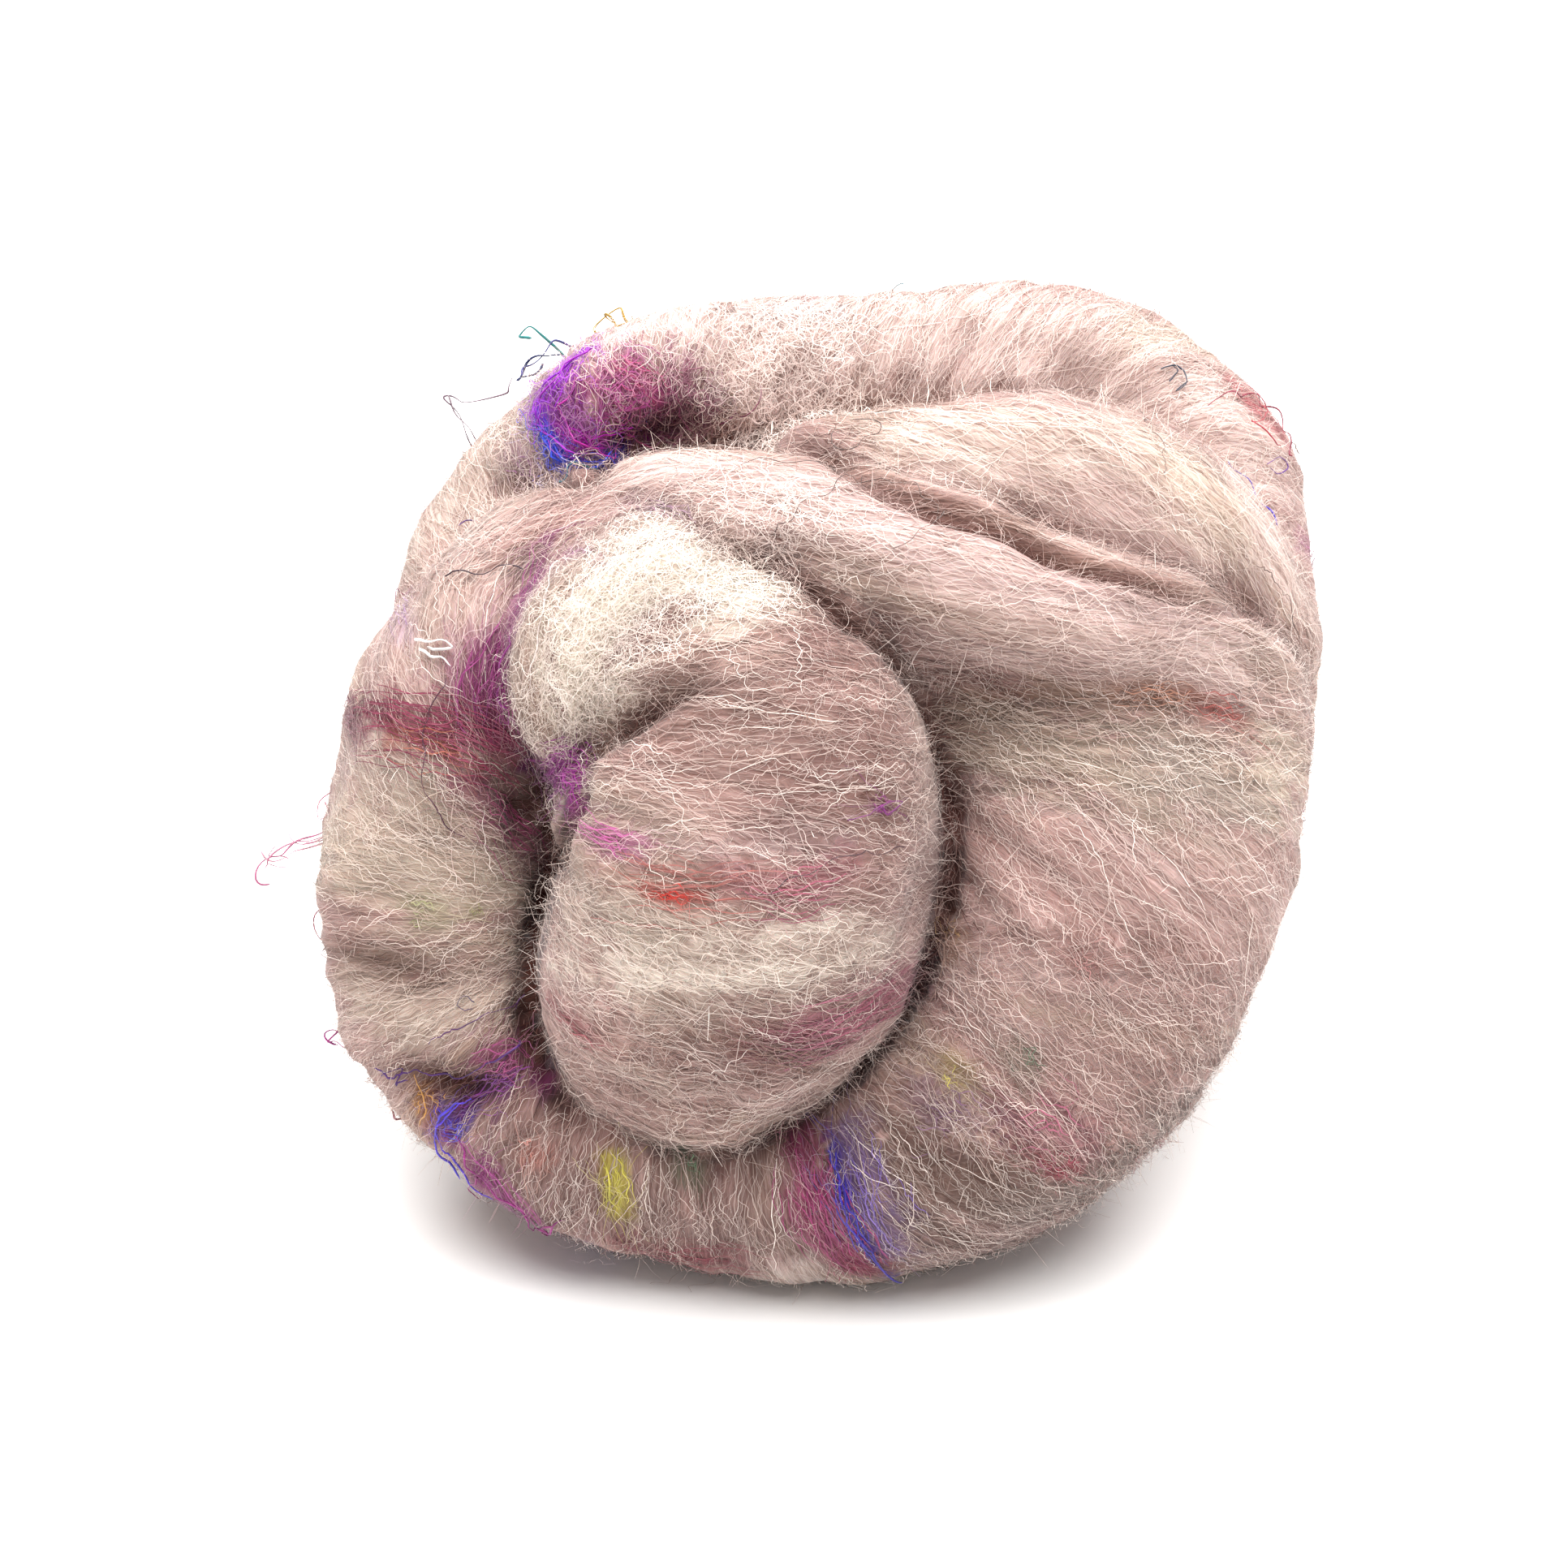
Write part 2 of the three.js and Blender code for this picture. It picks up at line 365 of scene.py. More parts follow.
# Each point of the skin takes its combing from the nearest point of the rope: the lay of the fibres, and how
# many millimetres it lies along them and across them.
sample_points = []
sample_lay = []
sample_combed = []
for number, (name, rings) in enumerate(stretch_rings.items()):
    share = rings["share"]
    turn = np.interp(share, np.linspace(0, 1, len(combing[name])), combing[name])
    turn = turn + np.interp(share, (0, 1), bowing.get(name, (0, 0))) * np.cos(rings["angle"])
    turn = np.radians(turn)
    lay = np.cos(turn)[..., None] * rings["ahead"] + np.sin(turn)[..., None] * rings["around"]
    with_fibre = rings["travelled"] * np.cos(turn) + rings["wrapped"] * np.sin(turn)
    across_fibre = -rings["travelled"] * np.sin(turn) + rings["wrapped"] * np.cos(turn)
    sample_points.append(rings["points"].reshape(-1, 3))
    sample_lay.append(lay.reshape(-1, 3))
    own = np.full(share.shape, number * STRETCHES_APART)
    sample_combed.append(np.stack([with_fibre, across_fibre, own], -1).reshape(-1, 3))
sample_points, sample_lay, sample_combed = (np.vstack(v) for v in (sample_points, sample_lay, sample_combed))

nearest_tree = KDTree(len(sample_points))
for i, place in enumerate(sample_points):
    nearest_tree.insert(place, i)
nearest_tree.balance()
nearest = np.array([nearest_tree.find(place)[1] for place in points])
lay = unit(sample_lay[nearest])
past = points - sample_points[nearest]
aside = np.cross(outward_normals(points, quads), lay)
past_combed = np.stack([(past * lay).sum(1), (past * aside).sum(1), np.zeros(len(past))], 1)
combed = sample_combed[nearest] + past_combed

# The lay has no way along it, so its squares are eased, and the strongest line is taken from them.
upper = [(0, 0), (0, 1), (0, 2), (1, 1), (1, 2), (2, 2)]
spread = relaxed(np.stack([lay[:, a] * lay[:, b] for a, b in upper], 1), edges, LAY_EASED)
tensor = np.empty((len(points), 3, 3))
for k, (a, b) in enumerate(upper):
    tensor[:, a, b] = tensor[:, b, a] = spread[:, k]
lay = np.linalg.eigh(tensor)[1][:, :, 2]

# Some turns lie so softly on their neighbours that only a shallow valley shows: its half width, how many
# times it is eased, and its route.
soft_valleys = {
    "under the top turn": (13, 220, [(34, 18), (54, 17), (74, 15), (92, 8)]),
    "behind the inner end": (7, 90, [(17, 26), (22, 20), (30, 17)]),
    "between the top turn and its fold": (6, 40, [(-6, 64), (16, 59), (30, 55)]),
    "over the hook": (6, 70, [(-56, 38), (-48, 48), (-36, 54), (-24, 55)]),
    "between the hook and the inner end": (9, 190, [(-36, 27), (-27, 33), (-14, 38), (-2, 36)]),
    "between the two back lobes": (9, 150, [(-2, 97), (0, 91), (2, 85), (3, 79)]),
    "left of the hook": (8, 60, [(-52, 44), (-60, 28), (-60, 14)]),
}
# Dents and swellings that the form of the rope doesn't give: half width, depth and route. A depth below
# nothing swells.
dents = {
    "crease over the hook": (2.4, 3.6, [
        (-42, 57), (-31, 54), (-21, 49), (-8, 43.5), (0, 37.5), (6.5, 31.5), (15.5, 21), (22.5, 8), (26, -4),
    ]),
    "crease right of the inner end": (1.7, 2.2, [
        (-8, 43.5), (0, 37.5), (6.5, 31.5), (15.5, 21), (22.5, 8), (26, -1), (27, -12), (25, -25), (21, -38),
        (15, -48), (6, -59), (-4, -67), (-16, -72.5), (-32, -72.5), (-44, -68),
    ]),
    "dip behind the top turn": (4.2, 6.0, [
        (-66, 57), (-60, 59), (-54, 60.5), (-46, 62.5), (-38, 65.5), (-30, 69), (-24, 71),
    ]),
    "crease left of the inner end": (3.0, 4.8, [
        (-45, 9), (-48, -3), (-51, -13), (-53.5, -23), (-56, -38), (-58, -50), (-53, -63), (-42, -70),
    ]),
    "crease inside the hook": (2.8, 6.0, [(-49, 2), (-47, 7), (-40, 12), (-31, 17), (-19, 20)]),
    "fold between the hook and the left side": (4.0, 3.2, [(-67, 5), (-59, -6), (-53, -18)]),
    "crease across the left side": (3.4, 2.8, [(-100, -31), (-92, -35), (-79, -39), (-60, -37)]),
    "fold at the lower left": (4.0, 5.0, [(-86, -57), (-73, -61), (-58, -60)]),
    "valley on the right side": (6.0, 1.6, [(20, 15), (34, 18), (47, 18), (66, 17), (87, 14)]),
    "crease under the fold": (3.0, 5.0, [
        (-6, 67), (-1, 64.5), (10.5, 61), (23.5, 55), (36, 51), (46, 46.5), (55, 43), (69, 39), (83, 35),
        (91, 32),
    ]),
    "strand on the top turn": (3.0, 0.4, [(-10, 51), (8, 44), (30, 38), (55, 32)]),
    "strand above it": (3.0, 0.35, [(12, 52), (34, 44), (60, 38), (84, 32)]),
    "crease between the two back lobes": (2.6, 1.6, [(-3, 88), (-5, 83), (-7, 78), (-8, 74)]),
    "swelling at the top": (7.0, -2.2, [(32, 75), (38, 77), (45, 75)]),
    "dimple in the swelling": (2.0, 1.5, [(33, 76), (37, 77.5), (41, 76)]),
}
bare_tree = BVHTree.FromPolygons(points.tolist(), quads.tolist())
on_skin = {
    name: [seen_on(bare_tree, *place) for place in route]
    for name, (_, _, route) in {**soft_valleys, **dents}.items()
}
for name, (half_width, times, _) in soft_valleys.items():
    gap, _ = route_distance(points, on_skin[name])
    nearby = np.exp(-((gap / half_width) ** 2))[:, None]
    points = points + nearby * (relaxed(points, edges, times) - points)

# The batt lies with its back turns pressed together, so the pockets between them are shallow.
POCKETS_EASED = 160
BACK_STARTS = -34  # mm out
BACK_FADE = 16  # mm further out, over which the easing ends
POCKET_DEPTH = 3  # mm, from which a pocket is eased in full
POCKET_SHARE = 0.7  # of its depth, which is taken off
deep_in = relaxed(points, edges, POCKETS_EASED)
filled = ((deep_in - points) * outward_normals(points, quads)).sum(1)
at_back = np.clip((BACK_STARTS - points[:, 2]) / BACK_FADE, 0, 1) * np.clip(filled / POCKET_DEPTH, 0, 1)
points = points + (POCKET_SHARE * at_back)[:, None] * (deep_in - points)
normals = outward_normals(points, quads)

# The wool is lumpy and its locks and strands stand out: heights, and sizes along and across, in millimetres.
LUMPS = (1.9, 24)
SMALL_LUMPS = (0.9, 10)
LOCKS = (0.75, (34, 5.0, 1))
STRANDS = (0.35, (16, 2.4, 1))
push = LUMPS[0] * cloud(points / LUMPS[1], 1) + SMALL_LUMPS[0] * cloud(points / SMALL_LUMPS[1], 2)
push += LOCKS[0] * cloud(combed / LOCKS[1], 3) + STRANDS[0] * cloud(combed / STRANDS[1], 4)

DENT_FULL_SHADE_DEPTH = 4  # mm deep, from which a dent takes its full painted shade
SHADE_PAST_DENT = 1.6  # mm that the painted shade spreads past a dent
FOLD_FULL_SHADE_DEPTH = 3.0  # mm deep, from which a fold of the rope takes its full painted shade
FOLDS_EASED = 60  # times, for the smooth form that the folds lie below
# Painted shade: each dent also darkens the wool's colour, in it and a little past it.
painted_dent_shade = np.zeros(len(points))
for name, (half_width, depth, _) in dents.items():
    gap, share = route_distance(points, on_skin[name])
    fade = np.sin(math.pi * share) ** 0.6
    push -= depth * np.exp(-((gap / half_width) ** 2)) * fade
    dent_shade = min(depth / DENT_FULL_SHADE_DEPTH, 1) * np.exp(-((gap / (half_width + SHADE_PAST_DENT)) ** 2)) * fade
    painted_dent_shade = np.maximum(painted_dent_shade, dent_shade)
points = points + normals * push[:, None]

# The wool's own weight presses its foot flat on the table.
below = np.minimum(height_above_table(points), 0)
points = points - below[:, None] * FACE_AXES[:, 2]
normals = outward_normals(points, quads)
lay = unit(lay - normals * (lay * normals).sum(1, keepdims=True))
soft_normals = unit(relaxed(normals, edges, 3))
wool_tree = BVHTree.FromPolygons(points.tolist(), quads.tolist())

# How deep in a fold each point lies, from 0 to 1, with the dents' painted shade; it sets how much painted
# fold shade each point takes.
fold_depth = ((relaxed(points, edges, FOLDS_EASED) - points) * normals).sum(1)
fold_depth = np.clip(np.maximum(fold_depth / FOLD_FULL_SHADE_DEPTH, painted_dent_shade), 0, 1)
fold_depth = relaxed(fold_depth[:, None], edges, 2)[:, 0]


# The colours of the wool
# Pink and ivory wool are carded together with waste silk in strong dyes, so the colours lie in soft bands
# and streaks that follow the fibres. Some bands and two streaks are painted shade instead: darker on the
# lower front and along the creases. The paler bands on the top turns are partly painted light.
# Each row is a colour, how fully it covers, its half width and its route.

def paint(code):
    """A colour written as sRGB hex, as linear red, green and blue."""
    values = np.array([int(code[i:i + 2], 16) / 255 for i in (1, 3, 5)])
    return np.where(values <= 0.04045, values / 12.92, ((values + 0.055) / 1.055) ** 2.4)


PINK_WOOL = paint("#B59A93")
ROSE_WOOL = paint("#A27C75")
BEIGE_WOOL = paint("#A79383")
FOLD_SHADE_PAINT = paint("#70382C")  # painted shade: the colour that the wool is darkened towards in a fold
wool_and_painted_light_bands = [
    # Painted shade: the whole lower front darker, where less light reaches.
    ("#977871", 0.60, 26, [(-62, -62), (-20, -80), (30, -76), (72, -50)]),
    # Painted shade: the inner end darker down its front, which faces away from the light above.
    ("#7C5C57", 0.78, 20, [(2, 22), (8, -4), (4, -36), (-16, -60)]),
    ("#C6ADA4", 0.60, 14, [(-62, 56), (-74, 36), (-86, 8)]),
    ("#CEBFB1", 0.60, 12, [(-80, 50), (-71, 60), (-62, 68)]),
    # Paler pink on the top turn and its fold: partly the wool's own colour, partly painted light where the
    # light from above falls fullest.
    ("#D7BFB8", 0.70, 11, [(-34, 62), (-4, 58), (24, 48), (52, 34), (80, 24)]),
    ("#E2C7BF", 0.85, 11, [(24, 66), (48, 60), (68, 50), (82, 38)]),
    ("#F0E6D6", 0.95, 8.5, [(-47, 22), (-43, 33), (-36, 40), (-26, 42.5), (-16, 39)]),
    ("#E6DAC8", 0.90, 9, [(-48, 30), (-46, 18), (-44, 8)]),
    # Paler pink on the back-left lobe: partly the wool's own colour, partly painted light that makes up for
    # the shade under its top.
    ("#FBE3DC", 0.97, 14, [(-34, 91), (-20, 85), (-6, 86), (4, 90)]),
    ("#AC9A88", 0.75, 9, [(30, 9), (47, 8), (71, 3), (90, -3)]),
    ("#CBBCAE", 0.70, 7.0, [(-56, -32), (-34, -35), (-5, -34), (14, -31)]),
    ("#F0E4D6", 0.55, 1.8, [(-54, -28), (-34, -31), (-8, -30), (8, -27)]),
    ("#F0E4D6", 0.55, 1.8, [(-54, -36), (-34, -38.5), (-10, -38), (6, -35)]),
    # Painted shade: the inner end's right side darker towards the crease.
    ("#8C6A62", 0.50, 11, [(12, 22), (17, 0), (15, -22)]),
    ("#BBAD9E", 0.55, 8, [(-55, -18), (-40, -24), (-30, -26)]),
    ("#C0B09E", 0.70, 13, [(-97, -8), (-80, -15), (-62, -22)]),
    ("#C1B2A2", 0.70, 8, [(-92, -42), (-76, -46), (-62, -44)]),
    ("#D4C0B2", 0.60, 8, [(15, 66), (40, 70), (63, 66)]),
    ("#D4C3AF", 0.60, 8, [(70, 62), (84, 50), (93, 36)]),
    ("#D1B5B0", 0.60, 9, [(8, 56), (31, 46), (63, 36), (89, 30)]),
    # Paler pink over the top lobes: partly the wool's own colour, partly painted light where the light from
    # above falls fullest.
    ("#D6BEB6", 0.85, 16, [(-30, 88), (0, 90), (31, 90), (63, 82), (84, 64), (92, 44)]),
    # Painted shade: the foot and the lower front darker, where less light reaches.
    ("#775C57", 0.80, 13, [(-58, -78), (-40, -86), (-10, -92), (24, -92), (50, -86)]),
    ("#5F4B43", 0.85, 13, [(8, -76), (31, -80), (55, -80), (72, -66)]),
    ("#A3857E", 0.50, 8, [(-52, -56), (-34, -64), (-10, -62), (6, -54)]),
    ("#868176", 0.45, 5, [(-84, 4), (-72, 3), (-62, 0), (-56, -2)]),
    ("#887775", 0.40, 3, [(-28, -12), (-12, -13), (5, -12)]),
    ("#8B817C", 0.35, 6, [(66, 5), (76, -1), (86, -5)]),
    ("#938B8B", 0.50, 4, [(-21, 94), (-5, 95), (3, 93)]),
    # Painted shade along the creases and valleys: under the fold, under the top turn, beside a strand on it,
    # and round the inner end.
    ("#96705F", 0.60, 3.4, [
        (2, 63.5), (12, 60.5), (24, 55), (36, 51), (46, 46.5), (56, 43), (69, 39), (84, 35),
    ]),
    ("#937664", 0.50, 3.0, [(30, 17), (44, 18), (58, 17), (70, 16), (86, 13)]),
    ("#9C816F", 0.35, 2.0, [(8, 42), (24, 36), (44, 31), (66, 29)]),
    ("#5C3B2E", 0.60, 1.9, [
        (-33, 54.5), (-21, 49), (-8, 43.5), (0, 37.5), (6.5, 31.5), (15.5, 21), (22.5, 8), (26, -4),
    ]),
    ("#43262A", 0.75, 2.6, [
        (26.5, -14), (25, -25), (21, -38), (15, -48), (6, -59), (-4, -67), (-16, -72), (-32, -72),
    ]),
    ("#3E2222", 0.85, 3.6, [(-48, 2), (-50, -8), (-53, -20), (-55.5, -34), (-57, -48), (-52, -62)]),
]
silk_and_painted_shade_streaks = [
    ("#8B396E", 0.75, 6.0, [(-60, 34), (-64, 26), (-67, 17), (-65, 9)]),
    ("#781E5A", 0.88, 4.2, [(-60, 31), (-63, 24), (-64, 17), (-64, 9)]),
    ("#88326F", 0.78, 2.6, [(-54, 48), (-57, 39), (-61, 31)]),
    ("#7C2D45", 0.72, 5.0, [(-93, 14), (-85, 13), (-74, 10.5), (-64, 7), (-57, 2)]),
    ("#6A1B37", 0.80, 4.0, [(-94, 14), (-87, 13)]),
    ("#9A5340", 0.55, 2.5, [(-86, 9), (-76, 7), (-68, 4)]),
    ("#6E1A64", 0.92, 4.0, [(-58, 3), (-52, 1), (-48, 5)]),
    ("#962488", 0.95, 3.0, [(-54, 3), (-50, 4), (-48.5, 0), (-48.5, -5)]),
    ("#8A3A5E", 0.62, 4.4, [(-70, -1), (-62, -8), (-55, -15)]),
    ("#A85586", 0.65, 2.6, [(-47, -7), (-41, -11), (-36, -13)]),
    ("#90554E", 0.35, 4.0, [(-45, -18), (-27, -22), (-5, -20)]),
    ("#A8281E", 0.85, 1.1, [(-35, -21.5), (-29, -22.3), (-24, -23)]),
    ("#934C5E", 0.35, 4.0, [(-16, -18), (-5, -21), (5, -16)]),
    ("#8F455C", 0.55, 5.0, [(-10, -52), (0, -49), (12, -43), (20, -36)]),
    ("#6A3B45", 0.60, 2.4, [(-14, -54), (-5, -53), (4, -52)]),
    # Painted shadow: a dark brown streak where the inner end's lower front lies in shade, drawn with dark
    # strands.
    ("#6E5046", 0.55, 2.6, [(-20, -50), (-8, -53), (5, -56)]),
    ("#90454C", 0.50, 2.6, [(-54, -42), (-48, -48), (-42, -52)]),
    ("#402DAB", 0.95, 3.0, [(-76, -64), (-73, -69), (-69, -66)]),
    ("#78327D", 0.80, 4.0, [(-72, -64), (-64, -60), (-57, -58)]),
    ("#8E3A6A", 0.75, 4.5, [(-69, -55), (-62, -54), (-57, -57)]),
    ("#B07C3B", 0.70, 3.0, [(-79, -61), (-77, -67)]),
    ("#88286F", 0.80, 4.0, [(-73, -71), (-67, -78), (-60, -85), (-53, -90)]),
    ("#B3A73B", 0.75, 2.4, [(-43, -74), (-41, -80), (-40, -85)]),
    ("#52634B", 0.60, 2.6, [(-27, -73), (-25, -79)]),
    ("#B57468", 0.50, 2.5, [(-58, -75), (-55, -74)]),
    ("#8B2C5C", 0.75, 4.5, [(-3, -72), (-2, -80), (3, -90), (8, -96)]),
    ("#6A5293", 0.45, 5.0, [(6, -70), (9, -82), (14, -93)]),
    ("#2D1E8F", 0.95, 1.1, [(2, -72), (5, -82), (9, -92), (15, -98)]),
    ("#7A323E", 0.50, 4.0, [(-42, -91), (-26, -94), (-8, -96)]),
    ("#78243B", 0.60, 4.0, [(5, -94), (13, -97)]),
    ("#9A4843", 0.60, 2.4, [(74, 16), (80, 14), (84, 12)]),
    ("#9A6A55", 0.45, 2.5, [(58, 18), (68, 17), (74, 18)]),
    ("#AC9E52", 0.38, 3.0, [(26, -56), (29, -60)]),
    ("#5E6654", 0.45, 3.5, [(39, -53), (42, -58)]),
    ("#9A566A", 0.35, 6.0, [(39, -66), (52, -70), (63, -76)]),
    ("#962A42", 0.55, 2.2, [(46, -76), (50, -77)]),
    ("#78576F", 0.40, 5.0, [(22, -62), (32, -68)]),
    ("#9D6C68", 0.35, 4.0, [(50, -35), (55, -38)]),
    ("#9A7855", 0.40, 3.0, [(25, -26), (26, -34)]),
    ("#93306F", 0.88, 8.5, [(-46, 79), (-38, 78), (-31, 78)]),
    # Painted shade: the deep dark maroon under the back-left lobe, drawn with dark strands like the dyed
    # silk.
    ("#5A1E3C", 0.90, 5.5, [(-38, 70.5), (-30, 71.5), (-22, 74)]),
    ("#93616C", 0.30, 4.0, [(-30, 82), (-24, 76), (-20, 70)]),
    ("#9A1AC4", 0.97, 3.4, [(-46, 86.5), (-49, 84), (-53, 79.5), (-55.3, 74), (-53, 69)]),
    ("#A81AA6", 0.97, 3.4, [(-53, 71), (-48, 68), (-43, 67.5), (-37, 69.5)]),
    ("#2E48E6", 0.97, 3.2, [(-55, 70), (-52, 65.8), (-46, 63.3), (-40, 64.8)]),
    ("#782581", 0.70, 3.0, [(-53, 78), (-50, 74), (-47, 71)]),
    ("#A13943", 0.70, 3.0, [(82, 80), (87, 74), (93, 67)]),
    ("#9A305A", 0.55, 2.6, [(-42, 83), (-38, 82), (-34, 80), (-32, 76)]),
    ("#A16F9A", 0.40, 3.0, [(-60, 66), (-56, 60)]),
    ("#9A789A", 0.40, 3.0, [(-84, 40), (-82, 30)]),
    ("#866576", 0.50, 2.4, [(-38, 56), (-32, 54), (-24, 50)]),
    ("#8B4A7C", 0.50, 1.6, [(-50, 46), (-43, 44)]),
    ("#7A246C", 0.70, 0.8, [(10, -4), (15, -6)]),
    ("#93906A", 0.50, 2.4, [(-82, -24), (-76, -26)]),
    ("#938B61", 0.40, 1.5, [(-70, -25), (-67, -26)]),
]
# The same wool and dyes go on round the sides and the back, along the fibres. These rows end with how far
# each streak reaches from its middle.
wool_behind = [
    ("#C9BAA7", 0.75, 9.0, 34), ("#D5C3BA", 0.65, 8.0, 30), ("#C0AC9B", 0.65, 7.0, 30),
    ("#9E817A", 0.60, 8.0, 28), ("#CDBDAD", 0.70, 6.0, 26), ("#907F78", 0.50, 4.0, 20),
]
silk_behind = [
    ("#88347B", 0.70, 2.4, 16), ("#7E2E46", 0.65, 3.0, 14), ("#9B5440", 0.45, 2.0, 12),
    ("#611759", 0.75, 1.6, 10), ("#AA5688", 0.55, 2.4, 12), ("#402EAD", 0.80, 1.2, 12),
    ("#B5A93C", 0.55, 1.3, 8), ("#53644C", 0.50, 1.8, 8), ("#8D2D5D", 0.65, 3.0, 16),
    ("#6B5394", 0.45, 3.4, 14), ("#7B333F", 0.50, 2.6, 16), ("#944D5F", 0.40, 5.0, 18),
]
WOOL_ROUNDS = 4  # times that each row of wool comes behind
SILK_ROUNDS = 3


def wool_colour(places, fibre_places, colour_and_shade_routes):
    """The colour of the wool at some places, and how much of it is dyed silk.

    The clouds of colour are sized in millimetres along and across the fibres.
    """
    large = 0.5 + 0.5 * cloud(fibre_places / (60, 16, 1), 11)
    small = 0.5 + 0.5 * cloud(fibre_places / (30, 4.5, 1), 12)
    blend = np.clip(0.65 * large + 0.35 * small, 0, 1)[:, None]
    colour = PINK_WOOL * (1 - blend) + ROSE_WOOL * blend
    beige = np.clip(1.6 * cloud(fibre_places / (70, 12, 1), 13), 0, 1)[:, None]
    colour = colour * (1 - 0.7 * beige) + BEIGE_WOOL * 0.7 * beige
    wide_strands = 0.17 * cloud(fibre_places / (26, 1.9, 1), 16)
    fine_strands = 0.12 * cloud(fibre_places / (13, 0.9, 1), 17)
    colour = colour * (1 + wide_strands + fine_strands)[:, None]
    dyed = np.zeros(len(places))
    ragged = 1 + 0.75 * cloud(fibre_places / (12, 1.6, 1), 14) + 0.3 * cloud(places / 5, 15)
    for tone, cover, half_width, route, is_silk in colour_and_shade_routes:
        gap, share = route_distance(places, route)
        reach = half_width * ragged * (0.85 + 0.5 * np.sin(math.pi * np.clip(share, 0.1, 0.9)))
        amount = np.clip(1.25 - gap / np.maximum(reach, 0.3), 0, 1)
        amount = cover * amount * amount * (3 - 2 * amount)
        colour = colour * (1 - amount[:, None]) + tone * amount[:, None]
        if is_silk:
            dyed = np.maximum(dyed, amount)
    return colour, dyed


def on_wool(route):
    """A route's places on the wool, without those where it would leap over a dip."""
    leap = 14  # mm, and 6 more for each place along the route
    places = [seen_on(wool_tree, *place) for place in route]
    near = [i for i, place in enumerate(places) if abs(place[2] - places[0][2]) < leap + 6 * i]
    return [places[i] for i in near] if len(near) > 1 else places


def along_lay(start, reach):
    """A route that follows the fibres over the skin to both sides of one of its points."""
    legs = 4
    halves = []
    for way in (-1, 1):
        place = points[start]
        heading = lay[start] * way
        half = []
        for _ in range(legs):
            place, _, face, _ = wool_tree.find_nearest(Vector(place + heading * reach / legs))
            place = np.array(place)
            there = lay[quads[face][0]]
            heading = unit(heading + 0.8 * there * (1 if there @ heading > 0 else -1))
            half.append(place)
        halves.append(half)
    return halves[0][::-1] + [points[start]] + halves[1]


routes = [
    (paint(code), cover, half_width, on_wool(route), rows is silk_and_painted_shade_streaks)
    for rows in (wool_and_painted_light_bands, silk_and_painted_shade_streaks)
    for code, cover, half_width, route in rows
]
chance = np.random.default_rng(7)
facing_eye = (normals * unit(EYE - points)).sum(1)
hidden = np.flatnonzero((facing_eye < -0.15) & (points[:, 2] < 15) & (fold_depth < 0.3))
behind = [(*row, False) for row in wool_behind * WOOL_ROUNDS]
behind += [(*row, True) for row in silk_behind * SILK_ROUNDS]
for code, cover, half_width, reach, is_silk in behind:
    route = along_lay(chance.choice(hidden), reach * chance.uniform(0.6, 1.1))
    route = route[:len(route) - chance.integers(0, 4)]
    routes.append((paint(code), cover * chance.uniform(0.7, 1.1), half_width, route, is_silk))
wool_tint, wool_dyed = wool_colour(points, combed, routes)
# Painted shade: the wool's colour is darkened towards the fold shade colour, as deep as it lies in a fold or
# a dent.
fold_shade_painted = 1 - fold_depth[:, None] * (1 - FOLD_SHADE_PAINT)
wool_tint = wool_tint * fold_shade_painted


# The skin of the batt
# Carded wool fibres as fine as 0.03 mm lie side by side and hold each other in soft strands, under the loose
# ones of the next section. The strands are drawn 0.5 mm wide and 8 mm long, so that they show, and lie in
# locks 2.4 mm wide and 20 mm long.

def node(material, kind, settings=None, links=None):
    """Adds a node with its settings, and links its inputs to other nodes' outputs."""
    tree = material.node_tree
    made = tree.nodes.new(kind)
    for key, value in (settings or {}).items():
        if isinstance(key, str) and hasattr(made, key):
            setattr(made, key, value)
        else:
            made.inputs[key].default_value = value
    for key, (source, output) in (links or {}).items():
        tree.links.new(source.outputs[output], made.inputs[key])
    return made


def new_material(name):
    """A material with no nodes in it yet."""
    material = bpy.data.materials.new(name)
    material.use_nodes = True
    material.node_tree.nodes.clear()
    return material


def piece_from(name, face_points, quads, material):
    """A shown piece of the batt from points on the face and four-sided faces."""
    mesh = bpy.data.meshes.new(name)
    mesh.vertices.add(len(face_points))
    mesh.vertices.foreach_set("co", in_frame(face_points).astype(np.float32).ravel())
    mesh.loops.add(quads.size)
    mesh.loops.foreach_set("vertex_index", quads.astype(np.int32).ravel())
    mesh.polygons.add(len(quads))
    mesh.polygons.foreach_set("loop_start", np.arange(0, quads.size, 4, dtype=np.int32))
    mesh.update(calc_edges=True)
    mesh.shade_smooth()
    mesh.materials.append(material)
    piece = bpy.data.objects.new(name, mesh)
    bpy.context.scene.collection.objects.link(piece)
    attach(piece, "root")
    return piece


def add_values(piece, name, kind, values):
    """A value for each point of a piece, which its material reads by name."""
    layer = piece.data.attributes.new(name, kind, "POINT")
    field = {"FLOAT_COLOR": "color", "FLOAT_VECTOR": "vector"}[kind]
    layer.data.foreach_set(field, values.astype(np.float32).ravel())


def add_tint(piece, colours):
    """The colour of each point of a piece."""
    solid = np.hstack([np.clip(colours, 0, 1), np.ones((len(colours), 1))])
    add_values(piece, "tint", "FLOAT_COLOR", solid)


